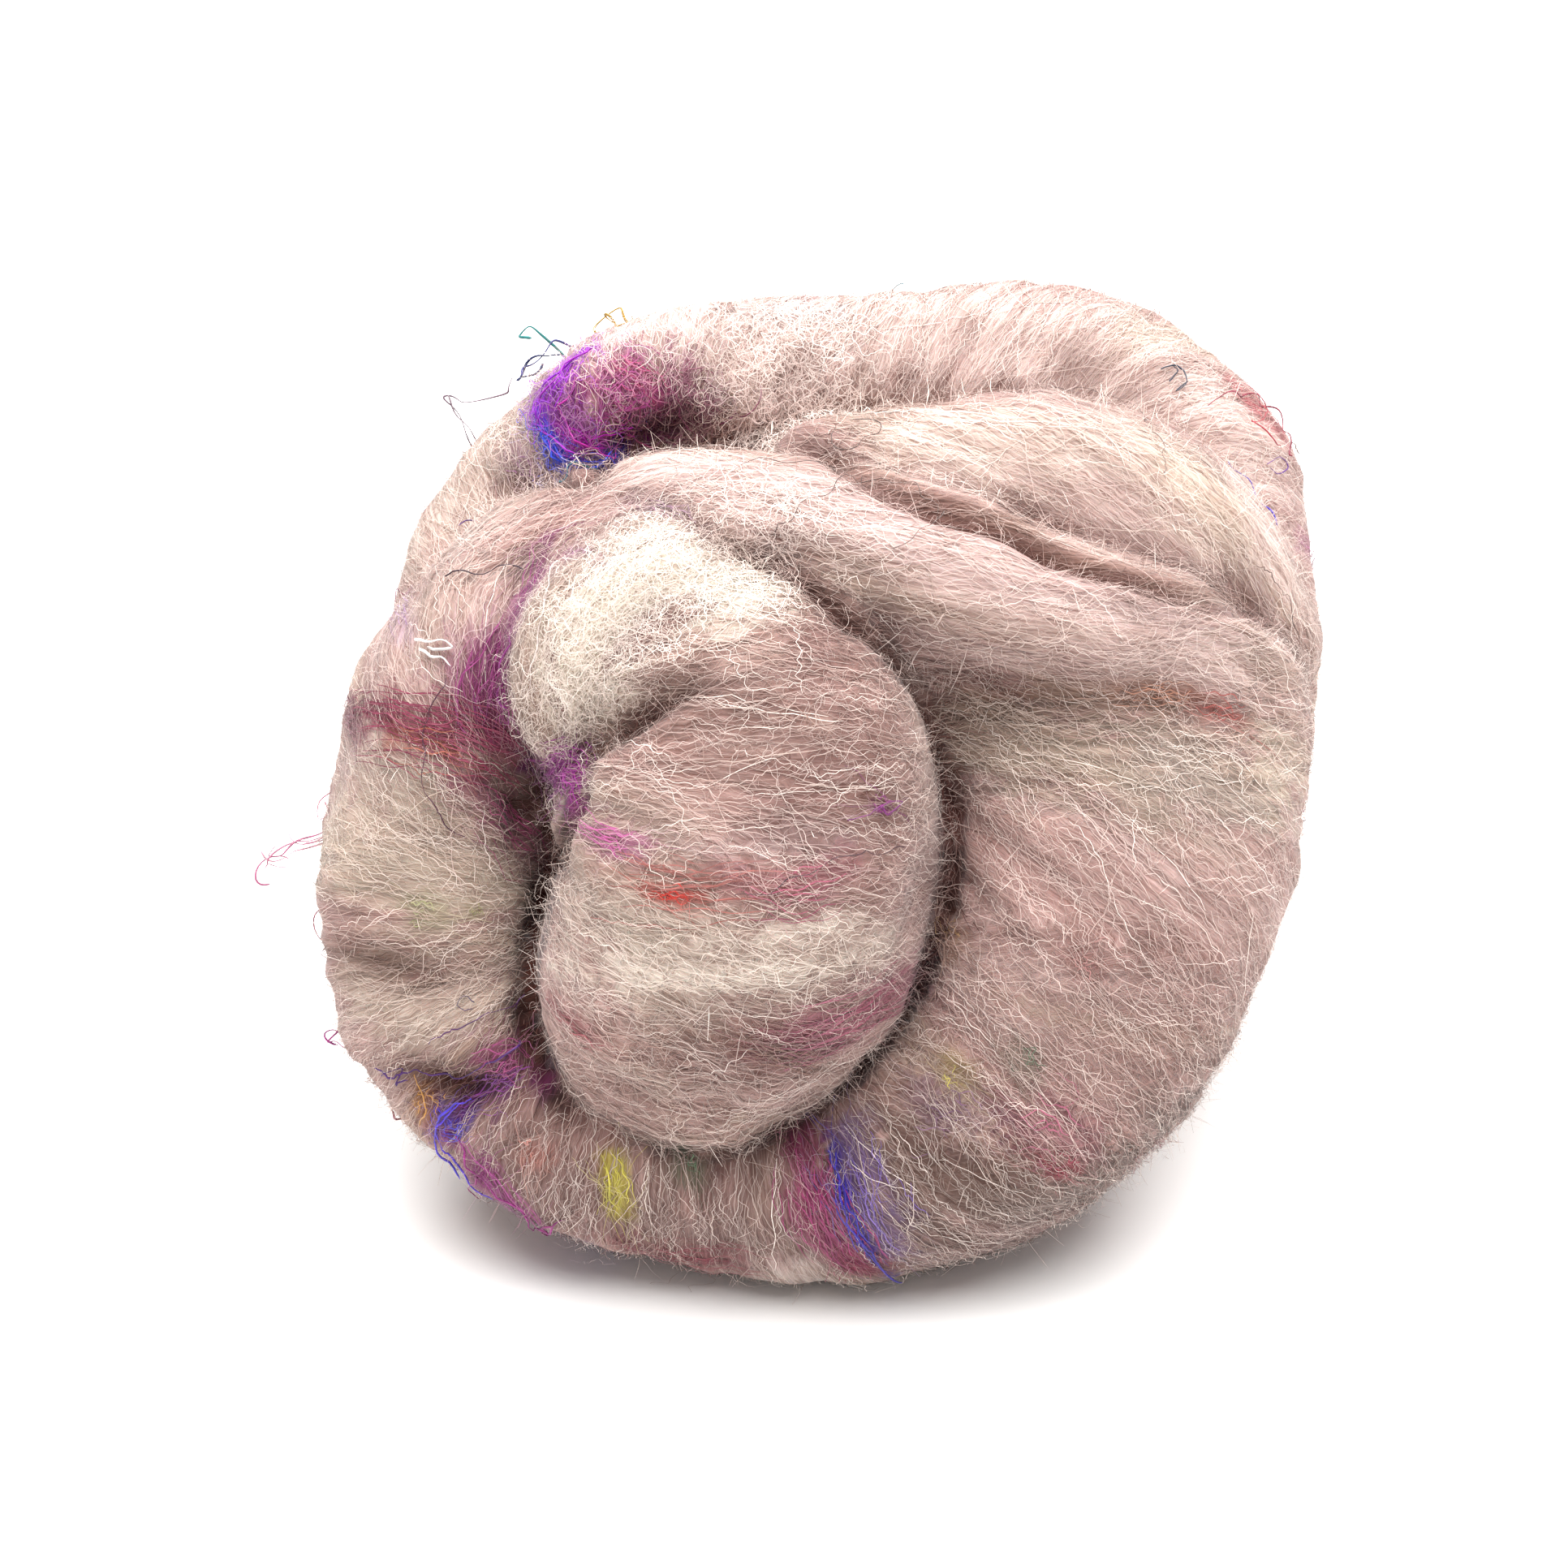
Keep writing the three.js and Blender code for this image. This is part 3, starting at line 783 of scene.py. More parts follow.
# Carded wool: matt, with a faint bloom at grazing light, in strands that are paler and browner by turns.
carded_wool = new_material("carded wool")
tint = node(carded_wool, "ShaderNodeAttribute", {"attribute_name": "tint"})
strands_at = node(carded_wool, "ShaderNodeAttribute", {"attribute_name": "combed"})
drawn = node(
    carded_wool, "ShaderNodeMapping", {"Scale": (0.12, 1.9, 1.0)},
    {"Vector": (strands_at, "Vector")},
)
strands = node(
    carded_wool, "ShaderNodeTexNoise",
    {"Scale": 1.0, "Detail": 5.0, "Roughness": 0.62, "Distortion": 0.35},
    {"Vector": (drawn, "Vector")},
)
wide_drawn = node(
    carded_wool, "ShaderNodeMapping", {"Scale": (0.05, 0.42, 1.0)},
    {"Vector": (strands_at, "Vector")},
)
locks = node(
    carded_wool, "ShaderNodeTexNoise",
    {"Scale": 1.0, "Detail": 3.0, "Roughness": 0.5, "Distortion": 0.2},
    {"Vector": (wide_drawn, "Vector")},
)
strand_tone = node(
    carded_wool, "ShaderNodeMapRange",
    {"From Min": 0.32, "From Max": 0.68, "To Min": 0.50, "To Max": 1.15},
    {"Value": (strands, "Fac")},
)
lock_tone = node(
    carded_wool, "ShaderNodeMapRange",
    {"From Min": 0.3, "From Max": 0.7, "To Min": 0.82, "To Max": 1.1},
    {"Value": (locks, "Fac")},
)
both_tones = node(
    carded_wool, "ShaderNodeMath", {"operation": "MULTIPLY"},
    {0: (strand_tone, "Result"), 1: (lock_tone, "Result")},
)
# Light that has been among the strands comes out warm, so their shade loses more green and blue than red.
warm_tone = node(
    carded_wool, "ShaderNodeVectorMath",
    {"operation": "MULTIPLY_ADD", 1: (1.0, 1.18, 1.24), 2: (0.0, -0.17, -0.22)},
    {0: (both_tones, "Value")},
)
toned = node(
    carded_wool, "ShaderNodeVectorMath", {"operation": "MULTIPLY"},
    {0: (tint, "Color"), 1: (warm_tone, "Vector")},
)
relief = node(
    carded_wool, "ShaderNodeBump", {"Strength": 0.6, "Distance": 0.0006},
    {"Height": (strands, "Fac")},
)
wool_shader = node(
    carded_wool, "ShaderNodeBsdfPrincipled",
    {
        "Roughness": 0.95, "IOR": 1.45, "Specular IOR Level": 0.2,
        "Sheen Weight": 0.2, "Sheen Roughness": 0.5, "Subsurface Weight": 0.15, "Subsurface Scale": 0.002,
    },
    {"Base Color": (toned, "Vector"), "Normal": (relief, "Normal")},
)
node(carded_wool, "ShaderNodeOutputMaterial", {}, {"Surface": (wool_shader, "BSDF")})

wool_skin = piece_from("wool_skin", points, quads, carded_wool)
add_tint(wool_skin, wool_tint)
add_values(wool_skin, "combed", "FLOAT_VECTOR", combed)
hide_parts("batt")


# The loose fibres on the skin
# Each fibre of carded wool is crimped. It lies roughly with the strands, or now and then across them, and
# only its neighbours hold it, so parts of it stand up a little. A fibre here stands for many real ones: it
# is drawn 0.04 to 0.2 mm wide, so that it shows, and is 7 to 30 mm long.

CELL = 1.5  # mm, of the grid that finds the nearest point of the skin
GRID_MARGIN = 20  # mm round the wool
GRID_SPREAD = 12  # cells that a point of the skin is found from
grid_low = points.min(0) - GRID_MARGIN
grid_size = np.ceil((points.max(0) - grid_low + GRID_MARGIN) / CELL).astype(int)
finder = np.full(grid_size, -1, np.int32)
cells = ((points - grid_low) / CELL).astype(int)
finder[cells[:, 0], cells[:, 1], cells[:, 2]] = np.arange(len(points))
for _ in range(GRID_SPREAD):
    for axis in range(3):
        for way in (1, -1):
            moved = np.roll(finder, way, axis)
            finder = np.where(finder < 0, moved, finder)


def skin_at(places):
    """The number of the skin's point near each place."""
    cell = np.clip(((places - grid_low) / CELL).astype(int), 0, grid_size - 1)
    return np.maximum(finder[cell[..., 0], cell[..., 1], cell[..., 2]], 0)


def set_on(places, height):
    """The same places, moved square to the skin until they are that high over it."""
    picked = skin_at(places)
    standing = ((places - points[picked]) * normals[picked]).sum(-1)
    return places + normals[picked] * (height - standing)[..., None]


def rooted(count, chance, weight):
    """Places on the skin, picked at random by weight."""
    picked = chance.choice(len(points), count, p=weight / weight.sum())
    jitter = chance.uniform(-0.9, 0.9, (count, 3))
    jitter -= normals[picked] * (jitter * normals[picked]).sum(1, keepdims=True)
    return picked, points[picked] + jitter


def laid(roots, off_lay, lengths, count, lifts, chance, wander):
    """Fibres traced over the skin along its lay, as rows of points with the skin's normals.

    Each heads a little off the lay, and drifts on from there by as much as wander, in radians a step.
    """
    picked = skin_at(roots)
    heading = lay[picked] * chance.choice([-1, 1], len(roots))[:, None]
    beside = np.cross(normals[picked], heading)
    heading = np.cos(off_lay)[:, None] * heading + np.sin(off_lay)[:, None] * beside
    place = roots.copy()
    step = (lengths / (count - 1))[:, None]
    drift = off_lay.copy()
    path = np.empty((len(roots), count, 3))
    normal_rows = np.empty_like(path)
    for k in range(count):
        place = set_on(place, lifts[:, k])
        picked = skin_at(place)
        normal = soft_normals[picked]
        along = lay[picked]
        along = along * np.where((along * heading).sum(1) < 0, -1, 1)[:, None]
        drift = drift * 0.97 + chance.normal(0, wander, len(roots))
        wanted = np.cos(drift)[:, None] * along + np.sin(drift)[:, None] * np.cross(normal, along)
        heading = 0.65 * heading + 0.35 * wanted
        heading = unit(heading - normal * (heading * normal).sum(1, keepdims=True))
        path[:, k] = place
        normal_rows[:, k] = normal
        place = place + heading * step
    return path, normal_rows


def crimped(path, normal_rows, waves, heights, chance):
    """The same fibres with their natural crimp: waves and heights are in millimetres."""
    step = np.linalg.norm(np.diff(path, axis=1), axis=2)
    run = np.concatenate([np.zeros((len(path), 1)), np.cumsum(step, 1)], 1)
    phase = chance.uniform(0, 2 * math.pi, (len(path), 1))
    uneven = 1 + 0.4 * np.sin(run / 5.3 + phase * 2)
    winding = run / waves[:, None] * 2 * math.pi + phase + 1.2 * np.sin(run / 4.1 + phase)
    swing = np.sin(winding) * heights[:, None]
    along = unit(np.gradient(path, axis=1))
    beside = np.cross(along, normal_rows)
    lift = 0.4 * heights[:, None] * np.cos(run / waves[:, None] * 2.6 + phase)
    return path + beside * (swing * uneven)[..., None] + normal_rows * lift[..., None]


def above_table(places):
    """The same places, none of them lower than just above the table."""
    clear = 0.1  # mm
    low = np.maximum(clear - height_above_table(places), 0)
    return places + low[..., None] * FACE_AXES[:, 2]


def add_patches(piece, owner, across, along, owners):
    """A small patch of the texture for each fibre or thread."""
    side = math.ceil(math.sqrt(owners))
    edge, inside = 0.15, 0.7  # shares of a patch's width
    spot = [owner % side + edge + inside * across, owner // side + edge + inside * along]
    spot = np.stack(spot, -1) / side
    corners = np.empty(len(piece.data.loops), np.int32)
    piece.data.loops.foreach_get("vertex_index", corners)
    layer = piece.data.uv_layers.new(name="OFBake")
    layer.data.foreach_set("uv", spot.reshape(-1, 2)[corners].astype(np.float32).ravel())


def ribbons(name, path, flat_to, lit_as, widths, colours, material, chance):
    """One piece of many flat fibres, each with a colour of its own.

    A fibre lies flat to one direction and takes the light as a surface that faces another.
    """
    number, count, _ = path.shape
    along = unit(np.gradient(path, axis=1))
    roll = chance.normal(0, 0.12, (number, 1, 1))
    beside = unit(np.cross(along, flat_to))
    beside = unit(np.cos(roll) * beside + np.sin(roll) * flat_to)
    taper = 0.35 + 0.65 * np.sin(math.pi * (np.linspace(0, 1, count) * 0.94 + 0.03)) ** 0.6
    half = widths[:, None] / 2 * taper[None]
    both = above_table(np.stack([path - beside * half[..., None], path + beside * half[..., None]], 2))
    row = np.arange(number)[:, None] * count * 2 + np.arange(count - 1)[None] * 2
    faces = np.stack([row, row + 1, row + 3, row + 2], -1).reshape(-1, 4)
    piece = piece_from(name, both.reshape(-1, 3), faces, material)
    add_tint(piece, np.repeat(colours, count * 2, axis=0))
    grid = np.broadcast_arrays(
        np.arange(number)[:, None, None],
        np.array([0, 1])[None, None],
        np.linspace(0, 1, count)[None, :, None],
    )
    add_patches(piece, *(values.astype(float) for values in grid), number)
    turned = unit(np.repeat(lit_as.reshape(-1, 3), 2, axis=0)) @ FACE_AXES
    piece.data.normals_split_custom_set_from_vertices(turned.tolist())
    return piece


# Loose wool fibres: paler than the strands below, with a soft gloss, and uneven in tone every 3 mm or so.
wool_fibre = new_material("wool fibre")
fibre_tint = node(wool_fibre, "ShaderNodeAttribute", {"attribute_name": "tint"})
fibre_at = node(wool_fibre, "ShaderNodeTexCoord")
fibre_spots = node(
    wool_fibre, "ShaderNodeTexNoise", {"Scale": 350.0, "Detail": 2.0},
    {"Vector": (fibre_at, "Object")},
)
fibre_tone = node(
    wool_fibre, "ShaderNodeMapRange",
    {"From Min": 0.3, "From Max": 0.7, "To Min": 0.86, "To Max": 1.1},
    {"Value": (fibre_spots, "Fac")},
)
fibre_toned = node(
    wool_fibre, "ShaderNodeVectorMath", {"operation": "SCALE"},
    {0: (fibre_tint, "Color"), "Scale": (fibre_tone, "Result")},
)
fibre_shader = node(
    wool_fibre, "ShaderNodeBsdfPrincipled",
    {
        "Roughness": 0.7, "IOR": 1.55, "Specular IOR Level": 0.25,
        "Sheen Weight": 0.15, "Sheen Roughness": 0.4,
    },
    {"Base Color": (fibre_toned, "Vector")},
)
node(wool_fibre, "ShaderNodeOutputMaterial", {}, {"Surface": (fibre_shader, "BSDF")})

# Half as many again lie on the side that faces the eye, and none under the foot.
FOOT_HEIGHT = 0.6  # mm
off_table = height_above_table(points) > FOOT_HEIGHT
everywhere = np.where(facing_eye > -0.1, 1.5, 1.0) * off_table
FIBRE_WHITE = paint("#EFE0D6")
WARM_SHADE = np.array([0.94, 1.18, 1.28])  # a fibre in the shade of others keeps its red light longest


def fibre_colours(path, paleness, evenness, chance):
    """Fibres take the colour of the wool they lie on, with its painted shade, and undyed ones are paler,
    darkened by the painted fold shade too.
    """
    below = skin_at(path[:, path.shape[1] // 2])
    pale = chance.uniform(*paleness, (len(path), 1))
    pale = np.where(chance.random((len(path), 1)) < 0.05, 0.9, pale)  # one in twenty is nearly white
    pale = pale * (1 - 0.9 * wool_dyed[below][:, None])
    colour = wool_tint[below] * (1 - pale) + FIBRE_WHITE * fold_shade_painted[below] * pale
    return colour * chance.uniform(*evenness, (len(path), 1)) ** WARM_SHADE


def coat(
    name, seed, number, count, length, off, width, wave, crimp, height, paleness, evenness, weight=everywhere
):
    """One coat of fibres over the batt, each traced through as many points as count says.

    Length, width, wave, crimp and height go from the least to the most, in millimetres. Off is how far the
    fibres are off the lay, in degrees, and one in eight lies any way.
    """
    chance = np.random.default_rng(seed)
    picked, roots = rooted(number, chance, weight)
    off_lay = chance.normal(0, math.radians(off), number)
    off_lay = np.where(chance.random(number) < 0.12, chance.uniform(-1.5, 1.5, number), off_lay)
    lengths = chance.uniform(*length, number)
    run = np.linspace(0, 1, count)[None]
    rise = chance.uniform(*height, (number, 1))
    lifts = rise * (0.35 + 0.9 * np.sin(math.pi * run) + 0.5 * chance.random((number, 1)) * run)
    path, normal_rows = laid(roots, off_lay, lengths, count, lifts, chance, math.radians(off) / 3)
    path = crimped(path, normal_rows, chance.uniform(*wave, number), chance.uniform(*crimp, number), chance)
    colours = fibre_colours(path, paleness, evenness, chance)
    widths = chance.uniform(*width, number)
    return ribbons(name, path, normal_rows, normal_rows, widths, colours, wool_fibre, chance)


for copy in (1, 2):
    coat(
        f"fibres_close_{copy}", seed=100 + copy, number=6400, count=11, length=(15, 30), off=14,
        width=(0.08, 0.17), wave=(5, 10), crimp=(0.15, 0.5), height=(0.1, 0.5),
        paleness=(0.0, 0.34), evenness=(0.64, 1.08),
    )
    coat(
        f"fibres_crimped_{copy}", seed=200 + copy, number=4900, count=17, length=(8, 18), off=24,
        width=(0.06, 0.12), wave=(2.2, 4.6), crimp=(0.15, 0.5), height=(0.3, 1.2),
        paleness=(0.1, 0.85), evenness=(0.85, 1.1),
    )
coat(
    "fibres_loose", seed=301, number=640, count=25, length=(10, 24), off=50,
    width=(0.04, 0.08), wave=(4, 10), crimp=(0.6, 2.0), height=(0.8, 4.0),
    paleness=(0.1, 0.7), evenness=(0.8, 1.0),
)

# The free end has curlier wool, for 11 mm to both sides of its route.
curly_places = [(-53, 78), (-46, 66), (-34, 72), (-20, 74), (-6, 82)]
curly_gap, _ = route_distance(points, [seen_on(wool_tree, *place) for place in curly_places])
coat(
    "fibres_curly", seed=302, number=520, count=31, length=(10, 24), off=60,
    width=(0.10, 0.20), wave=(3.0, 6.0), crimp=(0.7, 1.7), height=(0.4, 2.6),
    paleness=(0.2, 0.8), evenness=(0.85, 1.15),
    weight=np.exp(-((curly_gap / 11) ** 2)) * off_table * (1 - 0.8 * wool_dyed),
)

# The ivory wool on the hook is fuzzy, for 10 mm to both sides, but not down in the folds.
hook_places = [(-46, 10), (-46, 24), (-40, 38), (-26, 46), (-12, 44)]
hook_gap, _ = route_distance(points, [seen_on(wool_tree, *place) for place in hook_places])
coat(
    "fibres_fuzzy", seed=303, number=950, count=17, length=(7, 15), off=75,
    width=(0.06, 0.12), wave=(2.4, 5.0), crimp=(0.4, 1.0), height=(0.5, 2.4),
    paleness=(0.5, 1.0), evenness=(0.85, 1.1),
    weight=np.exp(-((hook_gap / 10) ** 2)) * off_table * (1 - fold_depth),
)


# The haze of standing fibres
# The ends of the wool fibres stand off the batt all round, with nothing to hold them down. They are 1 to
# 5 mm long, bend a little and blur the outline. Few stand near the table, where the batt is pressed.

FULL_HAZE = 60  # mm over the table


def standing_ends(name, seed, number, length, width):
    """A piece of short fibres that stand up from the skin: lengths and widths in millimetres."""
    chance = np.random.default_rng(seed)
    thickly = everywhere * np.clip(height_above_table(points) / FULL_HAZE, 0, 1)
    picked, roots = rooted(number, chance, thickly)
    tilt = chance.uniform(0.2, 1.3, (number, 1))
    beside = unit(np.cross(normals[picked], chance.normal(0, 1, (number, 3))))
    heading = np.cos(tilt) * normals[picked] + np.sin(tilt) * beside
    bend = chance.normal(0, 0.09, (number, 3))
    reach = chance.uniform(*length, number)
    run = (np.linspace(0, 1, 3)[None] * reach[:, None])[..., None]
    path = roots[:, None] + heading[:, None] * run + bend[:, None] * run**2
    upwards = np.zeros_like(path) + FACE_AXES[:, 2] + 0.3 * normals[picked][:, None]
    along = unit(np.gradient(path, axis=1))
    flat_to = unit(upwards - along * (upwards * along).sum(-1, keepdims=True))
    lit_as = unit(flat_to + normals[picked][:, None])
    colours = fibre_colours(path[:, :1], (0.1, 0.7), (0.85, 1.05), chance)
    return ribbons(name, path, flat_to, lit_as, chance.uniform(*width, number), colours, wool_fibre, chance)


standing_ends("fibre_ends", seed=401, number=21000, length=(1.2, 4.6), width=(0.06, 0.11))


# The strands of dyed silk
# Combed silk waste is finer and straighter than the wool, and its strands cling together in the streaks
# where the carder's teeth left them. A strand here stands for a bundle of them, 0.1 to 0.24 mm wide.

# Dyed silk, combed: deep colour with a clear gloss along the strands, uneven in tone every 2 mm or so.
dyed_silk = new_material("dyed silk")
silk_tint = node(dyed_silk, "ShaderNodeAttribute", {"attribute_name": "tint"})
silk_at = node(dyed_silk, "ShaderNodeTexCoord")
silk_spots = node(
    dyed_silk, "ShaderNodeTexNoise", {"Scale": 500.0, "Detail": 2.0},
    {"Vector": (silk_at, "Object")},
)
silk_tone = node(
    dyed_silk, "ShaderNodeMapRange",
    {"From Min": 0.3, "From Max": 0.7, "To Min": 0.75, "To Max": 1.2},
    {"Value": (silk_spots, "Fac")},
)
silk_toned = node(
    dyed_silk, "ShaderNodeVectorMath", {"operation": "SCALE"},
    {0: (silk_tint, "Color"), "Scale": (silk_tone, "Result")},
)
silk_shader = node(
    dyed_silk, "ShaderNodeBsdfPrincipled",
    {"Roughness": 0.45, "IOR": 1.54, "Specular IOR Level": 0.4, "Sheen Weight": 0.2, "Sheen Roughness": 0.3},
    {"Base Color": (silk_toned, "Vector")},
)
node(dyed_silk, "ShaderNodeOutputMaterial", {}, {"Surface": (silk_shader, "BSDF")})

SILK_POINTS = 14  # in a strand
LINE_POINTS = 60  # in the line of a streak
LAST_SPOT = 58.99  # just short of the line's last point
STRANDS_PER_AREA = 0.16  # for each square millimetre of half a streak
silk_chance = np.random.default_rng(501)
silk_paths = []
silk_colours = []
# The two streaks of painted shade among them get dark strands too.
for tone, cover, half_width, route, is_silk in routes:
    if not is_silk:
        continue
    line = through(route, LINE_POINTS)
    length = np.linalg.norm(np.diff(line, axis=0), axis=1).sum()
    number = int((4 + half_width * length * STRANDS_PER_AREA) * (0.4 + cover))
    first = silk_chance.uniform(0, 0.5, number)
    last = first + silk_chance.uniform(0.3, 1, number) * (1 - first)
    spot = (first[:, None] + (last - first)[:, None] * np.linspace(0, 1, SILK_POINTS)) * LAST_SPOT
    at = spot.astype(int)
    middle = line[at] + (line[at + 1] - line[at]) * (spot - at)[..., None]
    ahead = unit(line[at + 1] - line[at])
    aside = np.cross(ahead, soft_normals[skin_at(middle)])
    phase = silk_chance.uniform(0, 6.28, (2, number, 1))
    offset = silk_chance.normal(0, half_width * 0.7, (number, 1))
    offset = offset + half_width * 0.25 * np.sin(spot / 9 + phase[0]) + 0.35 * np.sin(spot / 2.6 + phase[1])
    height = silk_chance.uniform(0.3, 1.0, (number, 1)) + np.zeros_like(spot)
    silk_paths.append(set_on(middle + aside * offset[..., None], height))
    silk_colours.append(tone * silk_chance.uniform(0.7, 1.3, (number, 1)))
silk_path = np.vstack(silk_paths)
silk_lit = soft_normals[skin_at(silk_path)]
ribbons(
    "silk_strands", silk_path, silk_lit, silk_lit, silk_chance.uniform(0.10, 0.24, len(silk_path)),
    np.vstack(silk_colours), dyed_silk, silk_chance,
)


# The silk and wool threads
# Short ends of spun silk and wool thread went through the carder with the wool. They are 0.16 to 0.6 mm
# thick, kinked and curled, and each is caught in the wool at one end at least.
# A row gives a thread's colour, its thickness, how far it is kinked and the places it passes on the face.

threads_on_face = [
    ("#4A1C68", 0.40, 0.5, [
        (-87, -56), (-84, -58), (-80, -57.5), (-75, -57), (-72, -57.5), (-66, -55.5), (-60, -51.6),
    ]),
    ("#4A1C68", 0.32, 0.4, [(-86, -57.5), (-83, -56), (-84, -59), (-81, -59.5)]),
    ("#5A2F5E", 0.28, 0.4, [(-77, -51), (-72, -49), (-66, -46), (-61.5, -44.4), (-60, -42), (-61, -45)]),
    ("#4A3550", 0.28, 0.0, [
        (-68.7, -44.4), (-69.5, -43.2), (-71, -43.4), (-71.5, -44.8), (-70.2, -45.8), (-68.8, -45),
    ]),
    ("#3A2430", 0.30, 0.4, [
        (-73.7, 39.8), (-70.2, 41.5), (-66, 40.8), (-63.7, 42.3), (-61.3, 42.7), (-58.4, 41.3),
    ]),
    ("#F4EDEA", 0.55, 0.5, [
        (-80, 28.2), (-76.6, 27.4), (-74, 28.2), (-72.6, 26.4), (-76, 25.6), (-78, 26.8),
    ]),
    ("#F4EDEA", 0.50, 0.4, [(-79, 26), (-76.6, 24.2), (-74, 24.6), (-73, 22.8)]),
    ("#F0DDD6", 0.30, 0.3, [(-51.6, 43), (-53, 38), (-54.5, 33), (-55.6, 26.6), (-57.3, 16.9)]),
    ("#54283C", 0.24, 0.7, [(-74, 21), (-77, 15), (-78.3, 9), (-78.7, 1), (-74.2, -7.3), (-66, -13.7)]),
    ("#5A4640", 0.20, 0.0, [
        (7, 71), (12, 70.6), (12.3, 69), (9, 67.6), (7.7, 66), (4, 66), (2.9, 68), (3.6, 70),
    ]),
    ("#6B5A55", 0.16, 0.9, [(-21, 60), (-2, 62), (14.5, 58.9), (22.6, 55.6), (23, 51), (14, 46)]),
    ("#6B5A55", 0.16, 0.9, [(-11, 38), (-9.7, 46.8), (-5, 53), (3, 58), (10, 60)]),
    ("#7A6660", 0.18, 0.8, [(38.7, 78.2), (46.8, 78.5), (58, 76.6), (63, 73), (66, 68), (68, 61)]),
    ("#6B4F48", 0.20, 0.6, [(86, 44), (90, 40), (93, 34), (94, 28)]),
    ("#4A2C33", 0.22, 0.7, [
        (-17, -22.4), (-8, -21), (-1.6, -17.7), (6.5, -13.7), (10.5, -14.5), (16, -13),
    ]),
    ("#7A2470", 0.30, 0.5, [
        (4.8, -7.3), (9.7, -6.1), (11.3, -4.8), (12.9, -6.3), (15, -4.4), (12, -3.8), (10.5, -5.5),
    ]),
    ("#3824A8", 0.38, 0.4, [(2, -73), (4, -80), (6, -87), (10.5, -94), (16, -98)]),
    ("#33219C", 0.34, 0.5, [(3.5, -74), (5, -82), (8, -89), (13, -96)]),
    ("#4A35C4", 0.45, 0.5, [(-68, -63), (-73, -65), (-76, -68), (-74.5, -73), (-70, -78)]),
    ("#5B3BD0", 0.40, 0.5, [(-70, -64), (-74.5, -66.5), (-75, -71), (-71, -76), (-64, -82)]),
    ("#9C2F80", 0.40, 1.0, [(-72, -70), (-67, -78), (-60, -84), (-55, -88), (-50, -87)]),
    ("#8A1F6A", 0.40, 1.0, [(-68, -77), (-62, -86), (-57, -90), (-53, -86)]),
    ("#C98F45", 0.30, 0.9, [(-80, -58), (-79, -62), (-77, -66), (-79, -68)]),
    ("#A81CC0", 0.45, 0.7, [(-45, 85), (-50, 81), (-54.5, 76), (-55, 71), (-50, 67), (-44, 66)]),
    ("#9A20CC", 0.45, 0.6, [(-48, 83), (-53, 79), (-55.5, 74), (-53, 68), (-48, 65)]),
    ("#3352F0", 0.50, 0.6, [(-55, 70), (-52.5, 66), (-47, 63.5), (-41, 64.5)]),
    ("#3A4AE0", 0.45, 0.8, [(-54, 69), (-50, 65.5), (-45, 64.5), (-42, 66)]),
    ("#B8259C", 0.40, 1.1, [(-48, 80), (-51, 74), (-47, 68), (-42, 66), (-38, 70)]),
    ("#8E3560", 0.32, 1.4, [(-40, 82), (-36, 76), (-38, 70), (-31, 66), (-27, 72)]),
    ("#7A2F50", 0.28, 1.4, [(-32, 80), (-28, 74), (-22, 70), (-18, 76)]),
    ("#8A4A60", 0.26, 1.4, [(-28, 84), (-22, 80), (-16, 74), (-12, 80)]),
    ("#8F2F45", 0.35, 1.0, [(82, 82), (86, 76), (91, 70), (93, 64)]),
    ("#B8434E", 0.30, 1.1, [(84, 78), (88, 74), (86, 70), (91, 66)]),
    ("#6A3A88", 0.28, 0.0, [(88, 63), (90.5, 64.5), (92, 62.5), (90, 61), (88.5, 62.5)]),
    ("#8A2B4A", 0.30, 0.9, [(-92, 14), (-86, 13), (-80, 11), (-74, 12), (-66, 8)]),
    ("#8E2F7E", 0.30, 0.9, [(-60, 30), (-61, 24), (-63, 18), (-60, 12)]),
    ("#3E4250", 0.38, 0.8, [(68, 81), (70, 82.5), (72, 81), (72, 79), (70, 78), (73, 78.5)]),
    ("#4A4652", 0.34, 0.8, [(69, 79), (71, 81), (70, 83)]),
    ("#CFC24A", 0.30, 0.6, [(-43, -74), (-42, -80), (-40, -84)]),
]
